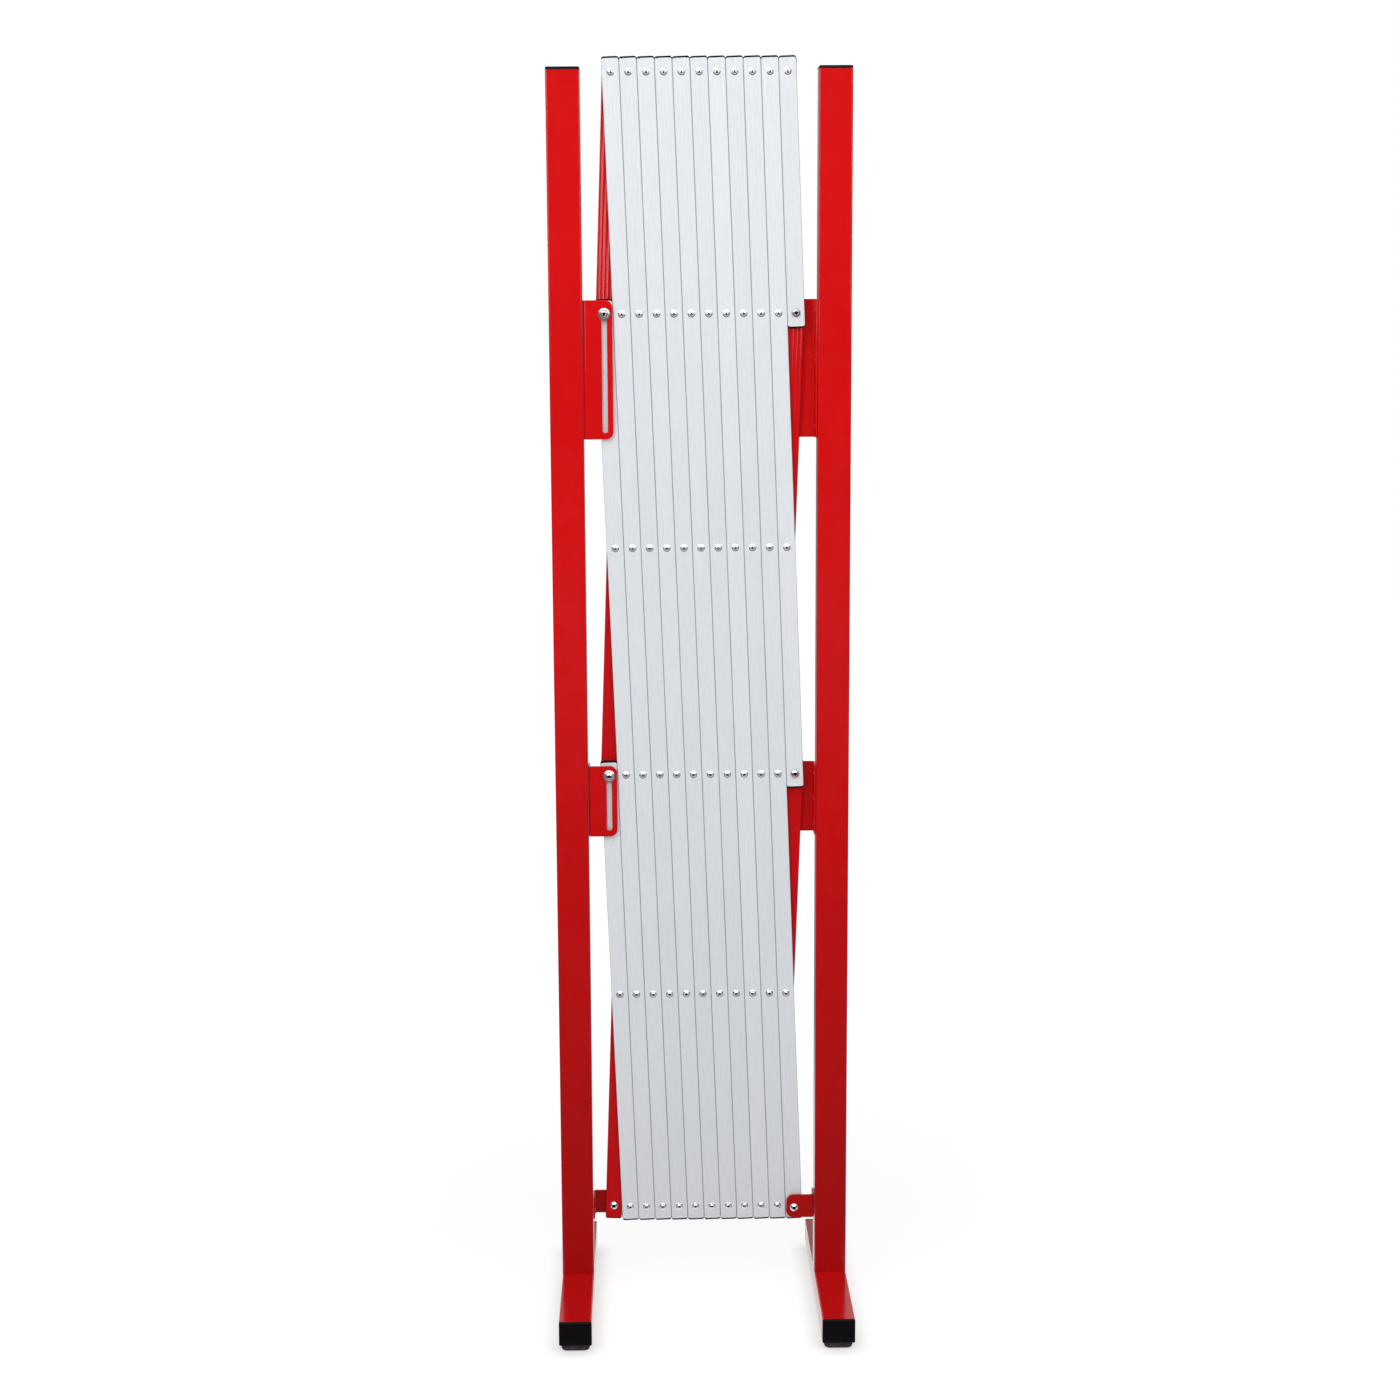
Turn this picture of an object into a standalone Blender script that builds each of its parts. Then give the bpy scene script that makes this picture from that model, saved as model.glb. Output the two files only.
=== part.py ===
"""Expandable safety barrier: two footed posts joined by a riveted scissor lattice of flat slats.

Metres, +Z up, front towards -Y. The origin is on the floor at the middle of the footprint.
The lattice is modelled closed. Its rows of pivots are counted from the top, and its columns, half
a slat pitch apart, from the left. White slats lie in the front layer and lean left, red slats lie
in the back layer and lean right, and a rivet joins each pair that crosses.
"""

import math

import bmesh
import bpy
from mathutils import Matrix, Vector

# What every piece shares: seats, running fits and cuts, and the angles of flat and sharp edges
SEAT_GAP = 0.0003
RUNNING_CLEARANCE = 0.0003
CUT_OVERRUN = 0.001
WELD_DISTANCE = 0.00001
FLAT_ANGLE = 0.1
SHARP_ANGLE = 35

# Lattice
ROWS = 6
COLUMNS = 22
PIVOT_SPACING = 0.2807
OPEN_BETWEEN_POSTS = 2.92
SLAT_WIDTH = 0.0203
SLAT_THICKNESS = 0.006
SLAT_EDGE_CHAMFER = 0.0014
SLAT_SIDE_GAP = 0.0005
SLAT_OVERHANG = 0.018
END_PLUG_CHAMFER = 0.0011
LAYER_GAP = 0.0006

# Rivets, one at each crossing
RIVET_SIDES = 8
RIVET_SHANK_RADIUS = 0.0024
RIVET_HEAD_RADIUS = 0.0046
RIVET_HEAD_HEIGHT = 0.0019
RIVET_HEAD_SINK = 0.0004
RIVET_TAIL_RADIUS = 0.0036
RIVET_TAIL_HEIGHT = 0.0022

# Bolts where the lattice meets the brackets
BOLT_SIDES = 8
BOLT_RADIUS = 0.003
BOLT_HEAD_RADIUS = 0.0054
BOLT_HEAD_HEIGHT = 0.0032
BOLT_FLANGE_RADIUS = 0.0072
BOLT_FLANGE_HEIGHT = 0.001
SOCKET_WIDTH = 0.004
SOCKET_DEPTH = 0.002
NUT_RADIUS = 0.0056
NUT_HEIGHT = 0.0036
SPACER_SPACE = 0.004
SPACER_RADIUS = 0.0065

# Posts and feet, bent and welded steel tube
POST_WIDTH = 0.04
POST_DEPTH = 0.03
POST_LENGTH = 1.4905
TUBE_WALL = 0.0015
TUBE_CORNER = 0.0025
POST_BASE_PLATE = 0.003
POST_TO_BOLT = 0.026
FOOT_LENGTH = 0.314
FOOT_HEIGHT = 0.03
BOTTOM_PIVOT_ABOVE_FOOT = 0.086
FOOT_BOLT_RADIUS = 0.004
FOOT_BOLT_HEAD_RADIUS = 0.0075
FOOT_BOLT_HEAD_HEIGHT = 0.0028
FOOT_BOLT_END = 0.006

# Plastic caps and rubber pads
CAP_FLANGE = 0.0035
CAP_EDGE_CHAMFER = 0.0014
CAP_PLUG_DEPTH = 0.014
PAD_HEIGHT = 0.008
PAD_LENGTH = 0.032
PAD_WIDTH = 0.035
PAD_CORNER = 0.008
PAD_EDGE_CHAMFER = 0.001

# Brackets, bent from plate: one leg on the post, one tab along the lattice
PLATE = 0.002
BEND_RADIUS = 0.0015
BRACKET_LEG_DEPTH = 0.025
TAB_PAST_BOLT = 0.0098
TAB_CORNER = 0.009
SLOT_SIDE_CLEARANCE = 0.0005
SLOT_TO_TAB_END = 0.0072
UPPER_TAB_ABOVE_BOLT = 0.0165
UPPER_SLOT_SPARE = 0.01
MIDDLE_TAB_ABOVE_BOLT = 0.0125
MIDDLE_SLOT_SPARE = 0.0015
LOWER_TAB_ABOVE_BOLT = 0.0165
LOWER_TAB_BELOW_BOLT = 0.0138
SCREW_HEAD_RADIUS = 0.0036
SCREW_HEAD_HEIGHT = 0.0014
SCREW_HEAD_SINK = 0.0004
SCREW_TO_END = 0.0135
LOWER_SCREW_TO_END = 0.0075
UPPER_CENTRE_SCREW_SHARE = 0.44
MIDDLE_CENTRE_SCREW_SHARE = 0.5

# Domes from the rim to the crown, as shares of the head's radius and height
RIVET_DOME_SHARES = ((1, 0), (0.7, 0.65), (0, 1))
BUTTON_DOME_SHARES = ((1, 0), (0.86, 0.6), (0.6, 1), (0, 1))

RED_PAINT = (0.62, 0.012, 0.014)
WHITE_PAINT = (0.72, 0.75, 0.78)
BLACK_PLASTIC = (0.012, 0.012, 0.013)
BLACK_RUBBER = (0.02, 0.02, 0.02)
ZINC_STEEL = (0.6, 0.6, 0.6)

# The closed lattice, and how far its rows come down as it opens
CLOSED_ANGLE = math.asin((SLAT_WIDTH + SLAT_SIDE_GAP) / PIVOT_SPACING) / 2
ROW_RISE = PIVOT_SPACING * math.cos(CLOSED_ANGLE)
COLUMN_STEP = PIVOT_SPACING * math.sin(CLOSED_ANGLE)
OPEN_SPAN = OPEN_BETWEEN_POSTS - 2 * POST_TO_BOLT
OPEN_ANGLE = math.asin(OPEN_SPAN / (COLUMNS * PIVOT_SPACING))
ROW_DROP = PIVOT_SPACING * (math.cos(CLOSED_ANGLE) - math.cos(OPEN_ANGLE))
HALF_ROWS = ROWS // 2
UPPER_ROW = 2
MIDDLE_ROW = 4
SLATS_PER_LAYER = COLUMNS // 2 + HALF_ROWS - 1

# Places across, from the middle plane outwards
BOLT_COLUMN_X = COLUMNS * COLUMN_STEP / 2
POST_X = BOLT_COLUMN_X + POST_TO_BOLT + POST_WIDTH / 2

# Heights, from the floor up
FOOT_BOTTOM_Z = PAD_HEIGHT + SEAT_GAP
FOOT_TOP_Z = FOOT_BOTTOM_Z + FOOT_HEIGHT
POST_BOTTOM_Z = FOOT_TOP_Z + SEAT_GAP
BOTTOM_ROW_Z = FOOT_TOP_Z + BOTTOM_PIVOT_ABOVE_FOOT

# Depths, from the plane between the two layers of slats outwards
SLAT_INNER_Y = LAYER_GAP / 2
SLAT_MIDDLE_Y = SLAT_INNER_Y + SLAT_THICKNESS / 2
SLAT_OUTER_Y = SLAT_INNER_Y + SLAT_THICKNESS
TAB_INNER_Y = SLAT_OUTER_Y + SPACER_SPACE
TAB_OUTER_Y = TAB_INNER_Y + PLATE

# Lays a shape's Z along +Y, stands a flat outline up with its Y as Z, and turns a shape about
ALONG_Y = Matrix.Rotation(math.radians(-90), 4, "X")
UPRIGHT = Matrix.Rotation(math.radians(90), 4, "X")
HALF_TURN = Matrix.Rotation(math.pi, 4, "Z")

for old in list(bpy.data.objects):
    bpy.data.objects.remove(old)

PARTS = bpy.data.collections.new("expandable_safety_barrier")
CUTTERS = bpy.data.collections.new("cutters")
for collection in (PARTS, CUTTERS):
    bpy.context.scene.collection.children.link(collection)


def paint(name, colour, roughness, metallic=0.0):
    """A plain finish for one kind of piece."""
    material = bpy.data.materials.new(name)
    material.use_nodes = True
    shader = material.node_tree.nodes["Principled BSDF"]
    shader.inputs["Base Color"].default_value = (*colour, 1)
    shader.inputs["Roughness"].default_value = roughness
    shader.inputs["Metallic"].default_value = metallic
    material.diffuse_color = (*colour, 1)
    return material


def shift(x=0, y=0, z=0):
    """A move by a distance along each axis."""
    return Matrix.Translation((x, y, z))


def hole_radius(shank_radius, sides):
    """Corner radius of a faceted hole in which a faceted shank turns freely."""
    return (shank_radius + RUNNING_CLEARANCE) / math.cos(math.pi / sides)


def arc(centre, radius, start, end, steps):
    """Points along an arc in a flat outline, angles in degrees."""
    turns = [math.radians(start + (end - start) * step / steps) for step in range(steps + 1)]
    return [(centre[0] + radius * math.cos(turn), centre[1] + radius * math.sin(turn)) for turn in turns]


def circle(radius, sides):
    """A faceted circle."""
    return arc((0, 0), radius, 180 / sides, 360 + 180 / sides, sides)[:-1]


def rounded_rectangle(width, height, corner, steps):
    """A rectangle about the origin with each corner an arc."""
    x = width / 2 - corner
    y = height / 2 - corner
    corners = ((x, y, 0), (-x, y, 90), (-x, -y, 180), (x, -y, 270))
    arcs = [arc((cx, cy), corner, start, start + 90, steps) for cx, cy, start in corners]
    return [point for points in arcs for point in points]


def dome(radius, base, height, shares):
    """Profile points of a domed head, from its rim at the base to its crown a signed height away."""
    return [(radius * out, base + height * up) for out, up in shares]


def baked(helper, name):
    """The finished mesh of a helper object, which is then removed."""
    bpy.context.view_layer.update()
    graph = bpy.context.evaluated_depsgraph_get()
    mesh = bpy.data.meshes.new_from_object(helper.evaluated_get(graph))
    mesh.name = name
    bpy.data.objects.remove(helper)
    return mesh


def cleaned(mesh, matrix):
    """Welds a new mesh's loose edges, makes its flat faces whole, moves it and turns its faces out."""
    shape = bmesh.new()
    shape.from_mesh(mesh)
    bmesh.ops.remove_doubles(shape, verts=shape.verts, dist=WELD_DISTANCE)
    flat = math.radians(FLAT_ANGLE)
    bmesh.ops.dissolve_limit(shape, angle_limit=flat, verts=shape.verts, edges=shape.edges)
    shape.transform(matrix)
    bmesh.ops.recalc_face_normals(shape, faces=shape.faces)
    shape.to_mesh(mesh)
    shape.free()
    return mesh


def prism(name, outlines, length, matrix=Matrix()):
    """Flat outlines, the later ones holes, raised along Z by half the length each way."""
    curve = bpy.data.curves.new(name, "CURVE")
    curve.dimensions = "2D"
    curve.fill_mode = "BOTH"
    curve.extrude = length / 2
    for outline in outlines:
        spline = curve.splines.new("POLY")
        spline.points.add(len(outline) - 1)
        for point, (x, y) in zip(spline.points, outline):
            point.co = (x, y, 0, 1)
        spline.use_cyclic_u = True
    helper = bpy.data.objects.new(name, curve)
    CUTTERS.objects.link(helper)
    mesh = baked(helper, name)
    bpy.data.curves.remove(curve)
    return cleaned(mesh, matrix)


def turned(name, profile, sides, matrix=Matrix()):
    """A profile of (radius, height) points, top to bottom, turned about Z."""
    mesh = bpy.data.meshes.new(name)
    edges = [(n, n + 1) for n in range(len(profile) - 1)]
    mesh.from_pydata([(radius, 0, height) for radius, height in profile], edges, [])
    helper = bpy.data.objects.new(name, mesh)
    CUTTERS.objects.link(helper)
    screw = helper.modifiers.new("turn", "SCREW")
    screw.steps = sides
    screw.render_steps = sides
    screw.use_merge_vertices = True
    screw.merge_threshold = WELD_DISTANCE
    shape = baked(helper, name)
    bpy.data.meshes.remove(mesh)
    return cleaned(shape, matrix @ Matrix.Rotation(math.pi / sides, 4, "Z"))


def chamfered(mesh, size, both_ends):
    """Chamfers the edges round a prism's upper end, or round both."""
    shape = bmesh.new()
    shape.from_mesh(mesh)
    reach = max(vertex.co.z for vertex in shape.verts)
    levels = (reach, -reach) if both_ends else (reach,)
    rims = [
        edge
        for edge in shape.edges
        if any(all(abs(vertex.co.z - level) < WELD_DISTANCE for vertex in edge.verts) for level in levels)
    ]
    bmesh.ops.bevel(shape, geom=rims, offset=size, offset_type="OFFSET", segments=1, affect="EDGES")
    shape.to_mesh(mesh)
    shape.free()
    return mesh


def combined(name, base, *steps):
    """One closed mesh from a base mesh and Boolean steps of (operation, mesh)."""
    helper = bpy.data.objects.new(name, base)
    CUTTERS.objects.link(helper)
    tools = []
    for operation, mesh in steps:
        tool = bpy.data.objects.new(name + "_tool", mesh)
        tool.hide_render = True
        tool.display_type = "WIRE"
        CUTTERS.objects.link(tool)
        tools.append(tool)
        modifier = helper.modifiers.new(operation.lower(), "BOOLEAN")
        modifier.operation = operation
        modifier.solver = "EXACT"
        modifier.object = tool
    result = baked(helper, name)
    for tool in tools:
        bpy.data.objects.remove(tool)
    return result


def copies_at(mesh, places):
    """One mesh that holds a copy of another at each place."""
    shape = bmesh.new()
    for place in places:
        copy = mesh.copy()
        copy.transform(place)
        shape.from_mesh(copy)
        bpy.data.meshes.remove(copy)
    joined = bpy.data.meshes.new(mesh.name + "s")
    shape.to_mesh(joined)
    shape.free()
    return joined


def world_place(empty):
    """Where an unturned empty stands, through all its parents."""
    place = Vector()
    while empty:
        place += empty.location
        empty = empty.parent
    return place


def body_axis(name, place, parent=None):
    """An empty on a body's joint axis, which carries the body's pieces and the bodies it moves."""
    empty = bpy.data.objects.new(name, None)
    empty.empty_display_size = SLAT_WIDTH
    PARTS.objects.link(empty)
    empty.location = Vector(place) - world_place(parent)
    empty.parent = parent
    return empty


def piece(name, mesh, material, carrier, place, turn=(0, 0, 0)):
    """One named sub-part on the body that carries it."""
    obj = bpy.data.objects.new(name, mesh)
    if not mesh.materials:
        mesh.materials.append(material)
    mesh.shade_smooth()
    mesh.set_sharp_from_angle(angle=math.radians(SHARP_ANGLE))
    PARTS.objects.link(obj)
    obj.parent = carrier
    obj.location = Vector(place) - world_place(carrier)
    obj.rotation_euler = turn
    return obj


red = paint("red_paint", RED_PAINT, 0.3)
white = paint("white_paint", WHITE_PAINT, 0.35)
plastic = paint("black_plastic", BLACK_PLASTIC, 0.45)
rubber = paint("black_rubber", BLACK_RUBBER, 0.8)
steel = paint("zinc_steel", ZINC_STEEL, 0.3, 1.0)


# Slats and rivets


def row_z(row):
    """Height of a row of pivots in the closed lattice."""
    return BOTTOM_ROW_Z + (ROWS - row) * ROW_RISE


def column_x(column):
    """Place across of a column of pivots in the closed lattice."""
    return (column - COLUMNS / 2) * COLUMN_STEP


def column_of(colour, number, row):
    """The column at which a slat crosses a row."""
    return 2 * number + row - ROWS if colour == "white" else 2 * number - row


def rows_of(colour, number):
    """The rows that a slat reaches, between the two bolt columns."""
    return [row for row in range(1, ROWS + 1) if 0 <= column_of(colour, number, row) <= COLUMNS]


def crossings(colour, number):
    """Each row of a slat with the slat of the other colour that crosses it there."""
    lean = 1 if colour == "white" else -1
    found = [(row, number + lean * (row - HALF_ROWS)) for row in rows_of(colour, number)]
    return [(row, other) for row, other in found if 1 <= other <= SLATS_PER_LAYER]


def rivet_mesh():
    """A rivet along +Y: its dome on the white slat's face, its shank, and its tail behind the red slat."""
    tail_seat = SLAT_OUTER_Y + SEAT_GAP
    head_rim = RIVET_HEAD_SINK - SLAT_OUTER_Y
    head_height = -RIVET_HEAD_HEIGHT - RIVET_HEAD_SINK
    profile = [
        *reversed(dome(RIVET_TAIL_RADIUS, tail_seat, RIVET_TAIL_HEIGHT, RIVET_DOME_SHARES)),
        (RIVET_SHANK_RADIUS, tail_seat),
        (RIVET_SHANK_RADIUS, head_rim),
        *dome(RIVET_HEAD_RADIUS, head_rim, head_height, RIVET_DOME_SHARES),
    ]
    return turned("rivet", profile, RIVET_SIDES, ALONG_Y)


def hole_along_y(name, shank_radius, sides, middle_y, length):
    """A cutter for the hole that a shank along Y runs through."""
    return prism(name, [circle(hole_radius(shank_radius, sides), sides)], length, shift(y=middle_y) @ ALONG_Y)


def slat_blank(pivots, layer_side):
    """A plugged slat that hangs from its top pivot at the origin. The side is -1 in front, +1 behind."""
    length = (pivots - 1) * PIVOT_SPACING + 2 * SLAT_OVERHANG
    outline = rounded_rectangle(SLAT_WIDTH, SLAT_THICKNESS, SLAT_EDGE_CHAMFER, 1)
    bar = chamfered(prism("slat", [outline], length), END_PLUG_CHAMFER, True)
    return cleaned(bar, shift(y=layer_side * SLAT_MIDDLE_Y, z=SLAT_OVERHANG - length / 2))


def slat_mesh(name, colour, pivots, bolt_pivot):
    """A slat with its rivets (white) or its rivet holes (red), and a hole at the pivot that is bolted."""
    layer_side = -1 if colour == "white" else 1
    through = (layer_side * SLAT_MIDDLE_Y, SLAT_THICKNESS + 2 * CUT_OVERRUN)
    places = [shift(z=-pivot * PIVOT_SPACING) for pivot in range(pivots)]
    riveted = [place for pivot, place in enumerate(places) if pivot != bolt_pivot]
    steps = []
    if bolt_pivot is not None:
        hole = hole_along_y("bolt_hole", BOLT_RADIUS, BOLT_SIDES, *through)
        steps.append(("DIFFERENCE", copies_at(hole, [places[bolt_pivot]])))
    if colour == "white":
        steps.append(("UNION", copies_at(rivet_mesh(), riveted)))
    else:
        hole = hole_along_y("rivet_hole", RIVET_SHANK_RADIUS, RIVET_SIDES, *through)
        steps.append(("DIFFERENCE", copies_at(hole, riveted)))
    return combined(name, slat_blank(pivots, layer_side), *steps)


slat_meshes = {}


def slat_name(colour, number):
    """The name of a slat, numbered from the left in its own layer."""
    return f"{colour}_slat_{number:02d}"


def add_slat(colour, number, carrier):
    """Puts one slat in the closed lattice. Slats with the same pivots share one mesh."""
    name = slat_name(colour, number)
    rows = rows_of(colour, number)
    columns = [column_of(colour, number, row) for row in rows]
    bolted = [pivot for pivot, column in enumerate(columns) if column in (0, COLUMNS)]
    key = (colour, len(rows), bolted[0] if bolted else None)
    if key not in slat_meshes:
        slat_meshes[key] = slat_mesh(name, *key)
    lean = -CLOSED_ANGLE if colour == "white" else CLOSED_ANGLE
    finish = white if colour == "white" else red
    piece(name, slat_meshes[key], finish, carrier, (column_x(columns[0]), 0, row_z(rows[0])), (0, lean, 0))


# Bolts with their nuts, and spacers


def bolt_mesh(head_seat, nut_seat, flanged):
    """A button-head bolt and its nut along Y, with its head towards -Y if its seat lies that way."""
    grip = abs(nut_seat - head_seat)
    head_base = -BOLT_FLANGE_HEIGHT if flanged else 0
    flange = [(BOLT_FLANGE_RADIUS, 0), (BOLT_FLANGE_RADIUS, head_base)] if flanged else []
    profile = [
        *reversed(dome(NUT_RADIUS, grip, NUT_HEIGHT, BUTTON_DOME_SHARES)),
        (BOLT_RADIUS, grip),
        (BOLT_RADIUS, 0),
        *flange,
        *dome(BOLT_HEAD_RADIUS, head_base, -BOLT_HEAD_HEIGHT, BUTTON_DOME_SHARES),
    ]
    crown = head_base - BOLT_HEAD_HEIGHT
    corner = SOCKET_WIDTH / 2 / math.cos(math.pi / 6)
    socket_middle = shift(z=crown + (SOCKET_DEPTH - CUT_OVERRUN) / 2)
    socket = prism("socket", [circle(corner, 6)], SOCKET_DEPTH + CUT_OVERRUN, socket_middle)
    bolt = combined("bolt", turned("bolt", profile, BOLT_SIDES), ("DIFFERENCE", socket))
    lie = ALONG_Y if nut_seat > head_seat else HALF_TURN @ ALONG_Y
    return cleaned(bolt, shift(y=head_seat) @ lie)


def spacer_mesh(face):
    """The tube round a bolt that fills the space between a slat and the tab beside it."""
    rings = [circle(SPACER_RADIUS, BOLT_SIDES), circle(hole_radius(BOLT_RADIUS, BOLT_SIDES), BOLT_SIDES)]
    middle_y = face * (SLAT_OUTER_Y + SPACER_SPACE / 2)
    return prism("spacer", rings, SPACER_SPACE - 2 * SEAT_GAP, shift(y=middle_y) @ ALONG_Y)


# Brackets. The side is -1 left and +1 right, and the tab's face is -1 in front and +1 behind


def angle_plate(side, face, above, below):
    """The bent plate of a bracket about its bolt, before its corners are rounded."""
    reach = POST_TO_BOLT - SEAT_GAP
    bend = BEND_RADIUS + PLATE
    section = [
        (0, BRACKET_LEG_DEPTH),
        *arc((bend, bend), bend, 180, 270, 3),
        (reach + TAB_PAST_BOLT, 0),
        (reach + TAB_PAST_BOLT, PLATE),
        *arc((bend, bend), BEND_RADIUS, 270, 180, 3),
        (PLATE, BRACKET_LEG_DEPTH),
    ]
    flat = [(side * (reach - along), face * (TAB_OUTER_Y - deep)) for along, deep in section]
    return prism("bracket", [flat], above + below, shift(z=(above - below) / 2))


def tab_silhouette(side, above, below):
    """The bracket as seen from the front, its free corners rounded, as a long prism along Y."""
    centre = TAB_CORNER - TAB_PAST_BOLT
    free_end = [
        *arc((centre, above - TAB_CORNER), TAB_CORNER, 90, 180, 3),
        *arc((centre, TAB_CORNER - below), TAB_CORNER, 180, 270, 3),
    ]
    outline = [(POST_TO_BOLT, -below), (POST_TO_BOLT, above), *free_end]
    return prism(
        "silhouette", [[(side * x, z) for x, z in outline]], 2 * (TAB_OUTER_Y + BRACKET_LEG_DEPTH), UPRIGHT
    )


def tab_opening(face, slot):
    """A cutter through the tab: a slot of the given length down from the bolt, or else a round hole."""
    radius = BOLT_RADIUS + SLOT_SIDE_CLEARANCE
    if slot:
        outline = [*arc((0, 0), radius, 0, 180, 4), *arc((0, -slot), radius, 180, 360, 4)]
    else:
        outline = circle(hole_radius(BOLT_RADIUS, BOLT_SIDES), BOLT_SIDES)
    middle_y = face * (TAB_INNER_Y + PLATE / 2)
    return prism("tab_opening", [outline], PLATE + 2 * CUT_OVERRUN, shift(y=middle_y) @ UPRIGHT)


def screw_heads(side, face, heights):
    """The heads of the screws that hold a bracket's leg to its post."""
    rim = -SCREW_HEAD_SINK
    profile = [*reversed(dome(SCREW_HEAD_RADIUS, rim, SCREW_HEAD_HEIGHT - rim, RIVET_DOME_SHARES)), (0, rim)]
    screw = turned("screw", profile, RIVET_SIDES, Matrix.Rotation(math.radians(-90 * side), 4, "Y"))
    leg_face = side * (POST_TO_BOLT - SEAT_GAP - PLATE)
    leg_middle = face * (TAB_OUTER_Y - (PLATE + BRACKET_LEG_DEPTH) / 2)
    return copies_at(screw, [shift(leg_face, leg_middle, height) for height in heights])


def bracket_mesh(side, face, above, below, slot, screw_to_end, centre_share):
    """A bracket about its bolt, with a screw near each end and, if it has a share, one between them."""
    heights = [above - screw_to_end, screw_to_end - below]
    if centre_share:
        heights.append(above - centre_share * (above + below))
    return combined(
        "bracket",
        angle_plate(side, face, above, below),
        ("INTERSECT", tab_silhouette(side, above, below)),
        ("DIFFERENCE", tab_opening(face, slot)),
        ("UNION", screw_heads(side, face, heights)),
    )


# Posts, feet, caps and pads


def tube_outlines(width, height):
    """The outer outline of a tube, and that of its bore."""
    inner = (width - 2 * TUBE_WALL, height - 2 * TUBE_WALL, TUBE_CORNER - TUBE_WALL, 1)
    return rounded_rectangle(width, height, TUBE_CORNER, 2), rounded_rectangle(*inner)


def foot_bolt_hole(length):
    """A cutter along Z for the bolt that holds a post to its foot."""
    return prism("foot_bolt_hole", [circle(hole_radius(FOOT_BOLT_RADIUS, BOLT_SIDES), BOLT_SIDES)], length)


def post_mesh():
    """A tube that stands on the plate welded into its bottom, which is drilled for the foot bolt."""
    outer, bore = tube_outlines(POST_WIDTH, POST_DEPTH)
    bore_length = POST_LENGTH - POST_BASE_PLATE + CUT_OVERRUN
    return combined(
        "post",
        prism("post", [outer], POST_LENGTH, shift(z=POST_LENGTH / 2)),
        ("DIFFERENCE", prism("bore", [bore], bore_length, shift(z=POST_BASE_PLATE + bore_length / 2))),
        ("DIFFERENCE", foot_bolt_hole(2 * (POST_BASE_PLATE + CUT_OVERRUN))),
    )


def foot_mesh():
    """A tube along Y, open at both ends, drilled through for the bolt that holds the post."""
    tube = prism("foot", tube_outlines(POST_WIDTH, FOOT_HEIGHT), FOOT_LENGTH, UPRIGHT)
    return combined("foot", tube, ("DIFFERENCE", foot_bolt_hole(FOOT_HEIGHT + 2 * CUT_OVERRUN)))


def cap_mesh(height):
    """A moulded cap on a tube's end face: its flange above, and its plug down the bore."""
    outer, _ = tube_outlines(POST_WIDTH, height)
    flange = chamfered(prism("cap", [outer], CAP_FLANGE), CAP_EDGE_CHAMFER, False)
    flange_middle = SEAT_GAP + CAP_FLANGE / 2
    fit = 2 * (TUBE_WALL + SEAT_GAP)
    plug = rounded_rectangle(POST_WIDTH - fit, height - fit, TUBE_CORNER - TUBE_WALL, 1)
    plug_length = flange_middle + CAP_PLUG_DEPTH
    return combined(
        "cap",
        cleaned(flange, shift(z=flange_middle)),
        ("UNION", prism("plug", [plug], plug_length, shift(z=flange_middle - plug_length / 2))),
    )


def pad_mesh():
    """A rubber pad that stands on the floor, its lower edge chamfered."""
    outline = rounded_rectangle(PAD_WIDTH, PAD_LENGTH, PAD_CORNER, 2)
    pad = chamfered(prism("pad", [outline], PAD_HEIGHT), PAD_EDGE_CHAMFER, False)
    return cleaned(pad, shift(z=PAD_HEIGHT / 2) @ Matrix.Rotation(math.pi, 4, "X"))


def foot_bolt_mesh():
    """The bolt from under the foot into the post's bottom plate, from the seat of its head up."""
    tip = FOOT_HEIGHT + 2 * SEAT_GAP + POST_BASE_PLATE + FOOT_BOLT_END
    profile = [
        (0, tip),
        (FOOT_BOLT_RADIUS, tip),
        (FOOT_BOLT_RADIUS, 0),
        (FOOT_BOLT_HEAD_RADIUS, 0),
        (FOOT_BOLT_HEAD_RADIUS, -FOOT_BOLT_HEAD_HEIGHT),
        (0, -FOOT_BOLT_HEAD_HEIGHT),
    ]
    return turned("foot_bolt", profile, BOLT_SIDES)


post = post_mesh()
post_cap = cap_mesh(POST_DEPTH)
foot = foot_mesh()
foot_cap = cap_mesh(FOOT_HEIGHT)
foot_bolt = foot_bolt_mesh()
pad = pad_mesh()

UPPER_SLOT = (ROWS - UPPER_ROW) * ROW_DROP + UPPER_SLOT_SPARE
MIDDLE_SLOT = (ROWS - MIDDLE_ROW) * ROW_DROP + MIDDLE_SLOT_SPARE
BELOW_SLOT = BOLT_RADIUS + SLOT_SIDE_CLEARANCE + SLOT_TO_TAB_END

UPPER_TAB_BELOW_BOLT = UPPER_SLOT + BELOW_SLOT
MIDDLE_TAB_BELOW_BOLT = MIDDLE_SLOT + BELOW_SLOT

# Row, tab above and below the bolt, slot length, and the places of the screws in the bracket's leg
BRACKETS = {
    "upper": (
        *(UPPER_ROW, UPPER_TAB_ABOVE_BOLT, UPPER_TAB_BELOW_BOLT, UPPER_SLOT),
        *(SCREW_TO_END, UPPER_CENTRE_SCREW_SHARE),
    ),
    "middle": (
        *(MIDDLE_ROW, MIDDLE_TAB_ABOVE_BOLT, MIDDLE_TAB_BELOW_BOLT, MIDDLE_SLOT),
        *(SCREW_TO_END, MIDDLE_CENTRE_SCREW_SHARE),
    ),
    "lower": (ROWS, LOWER_TAB_ABOVE_BOLT, LOWER_TAB_BELOW_BOLT, 0, LOWER_SCREW_TO_END, 0),
}


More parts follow.
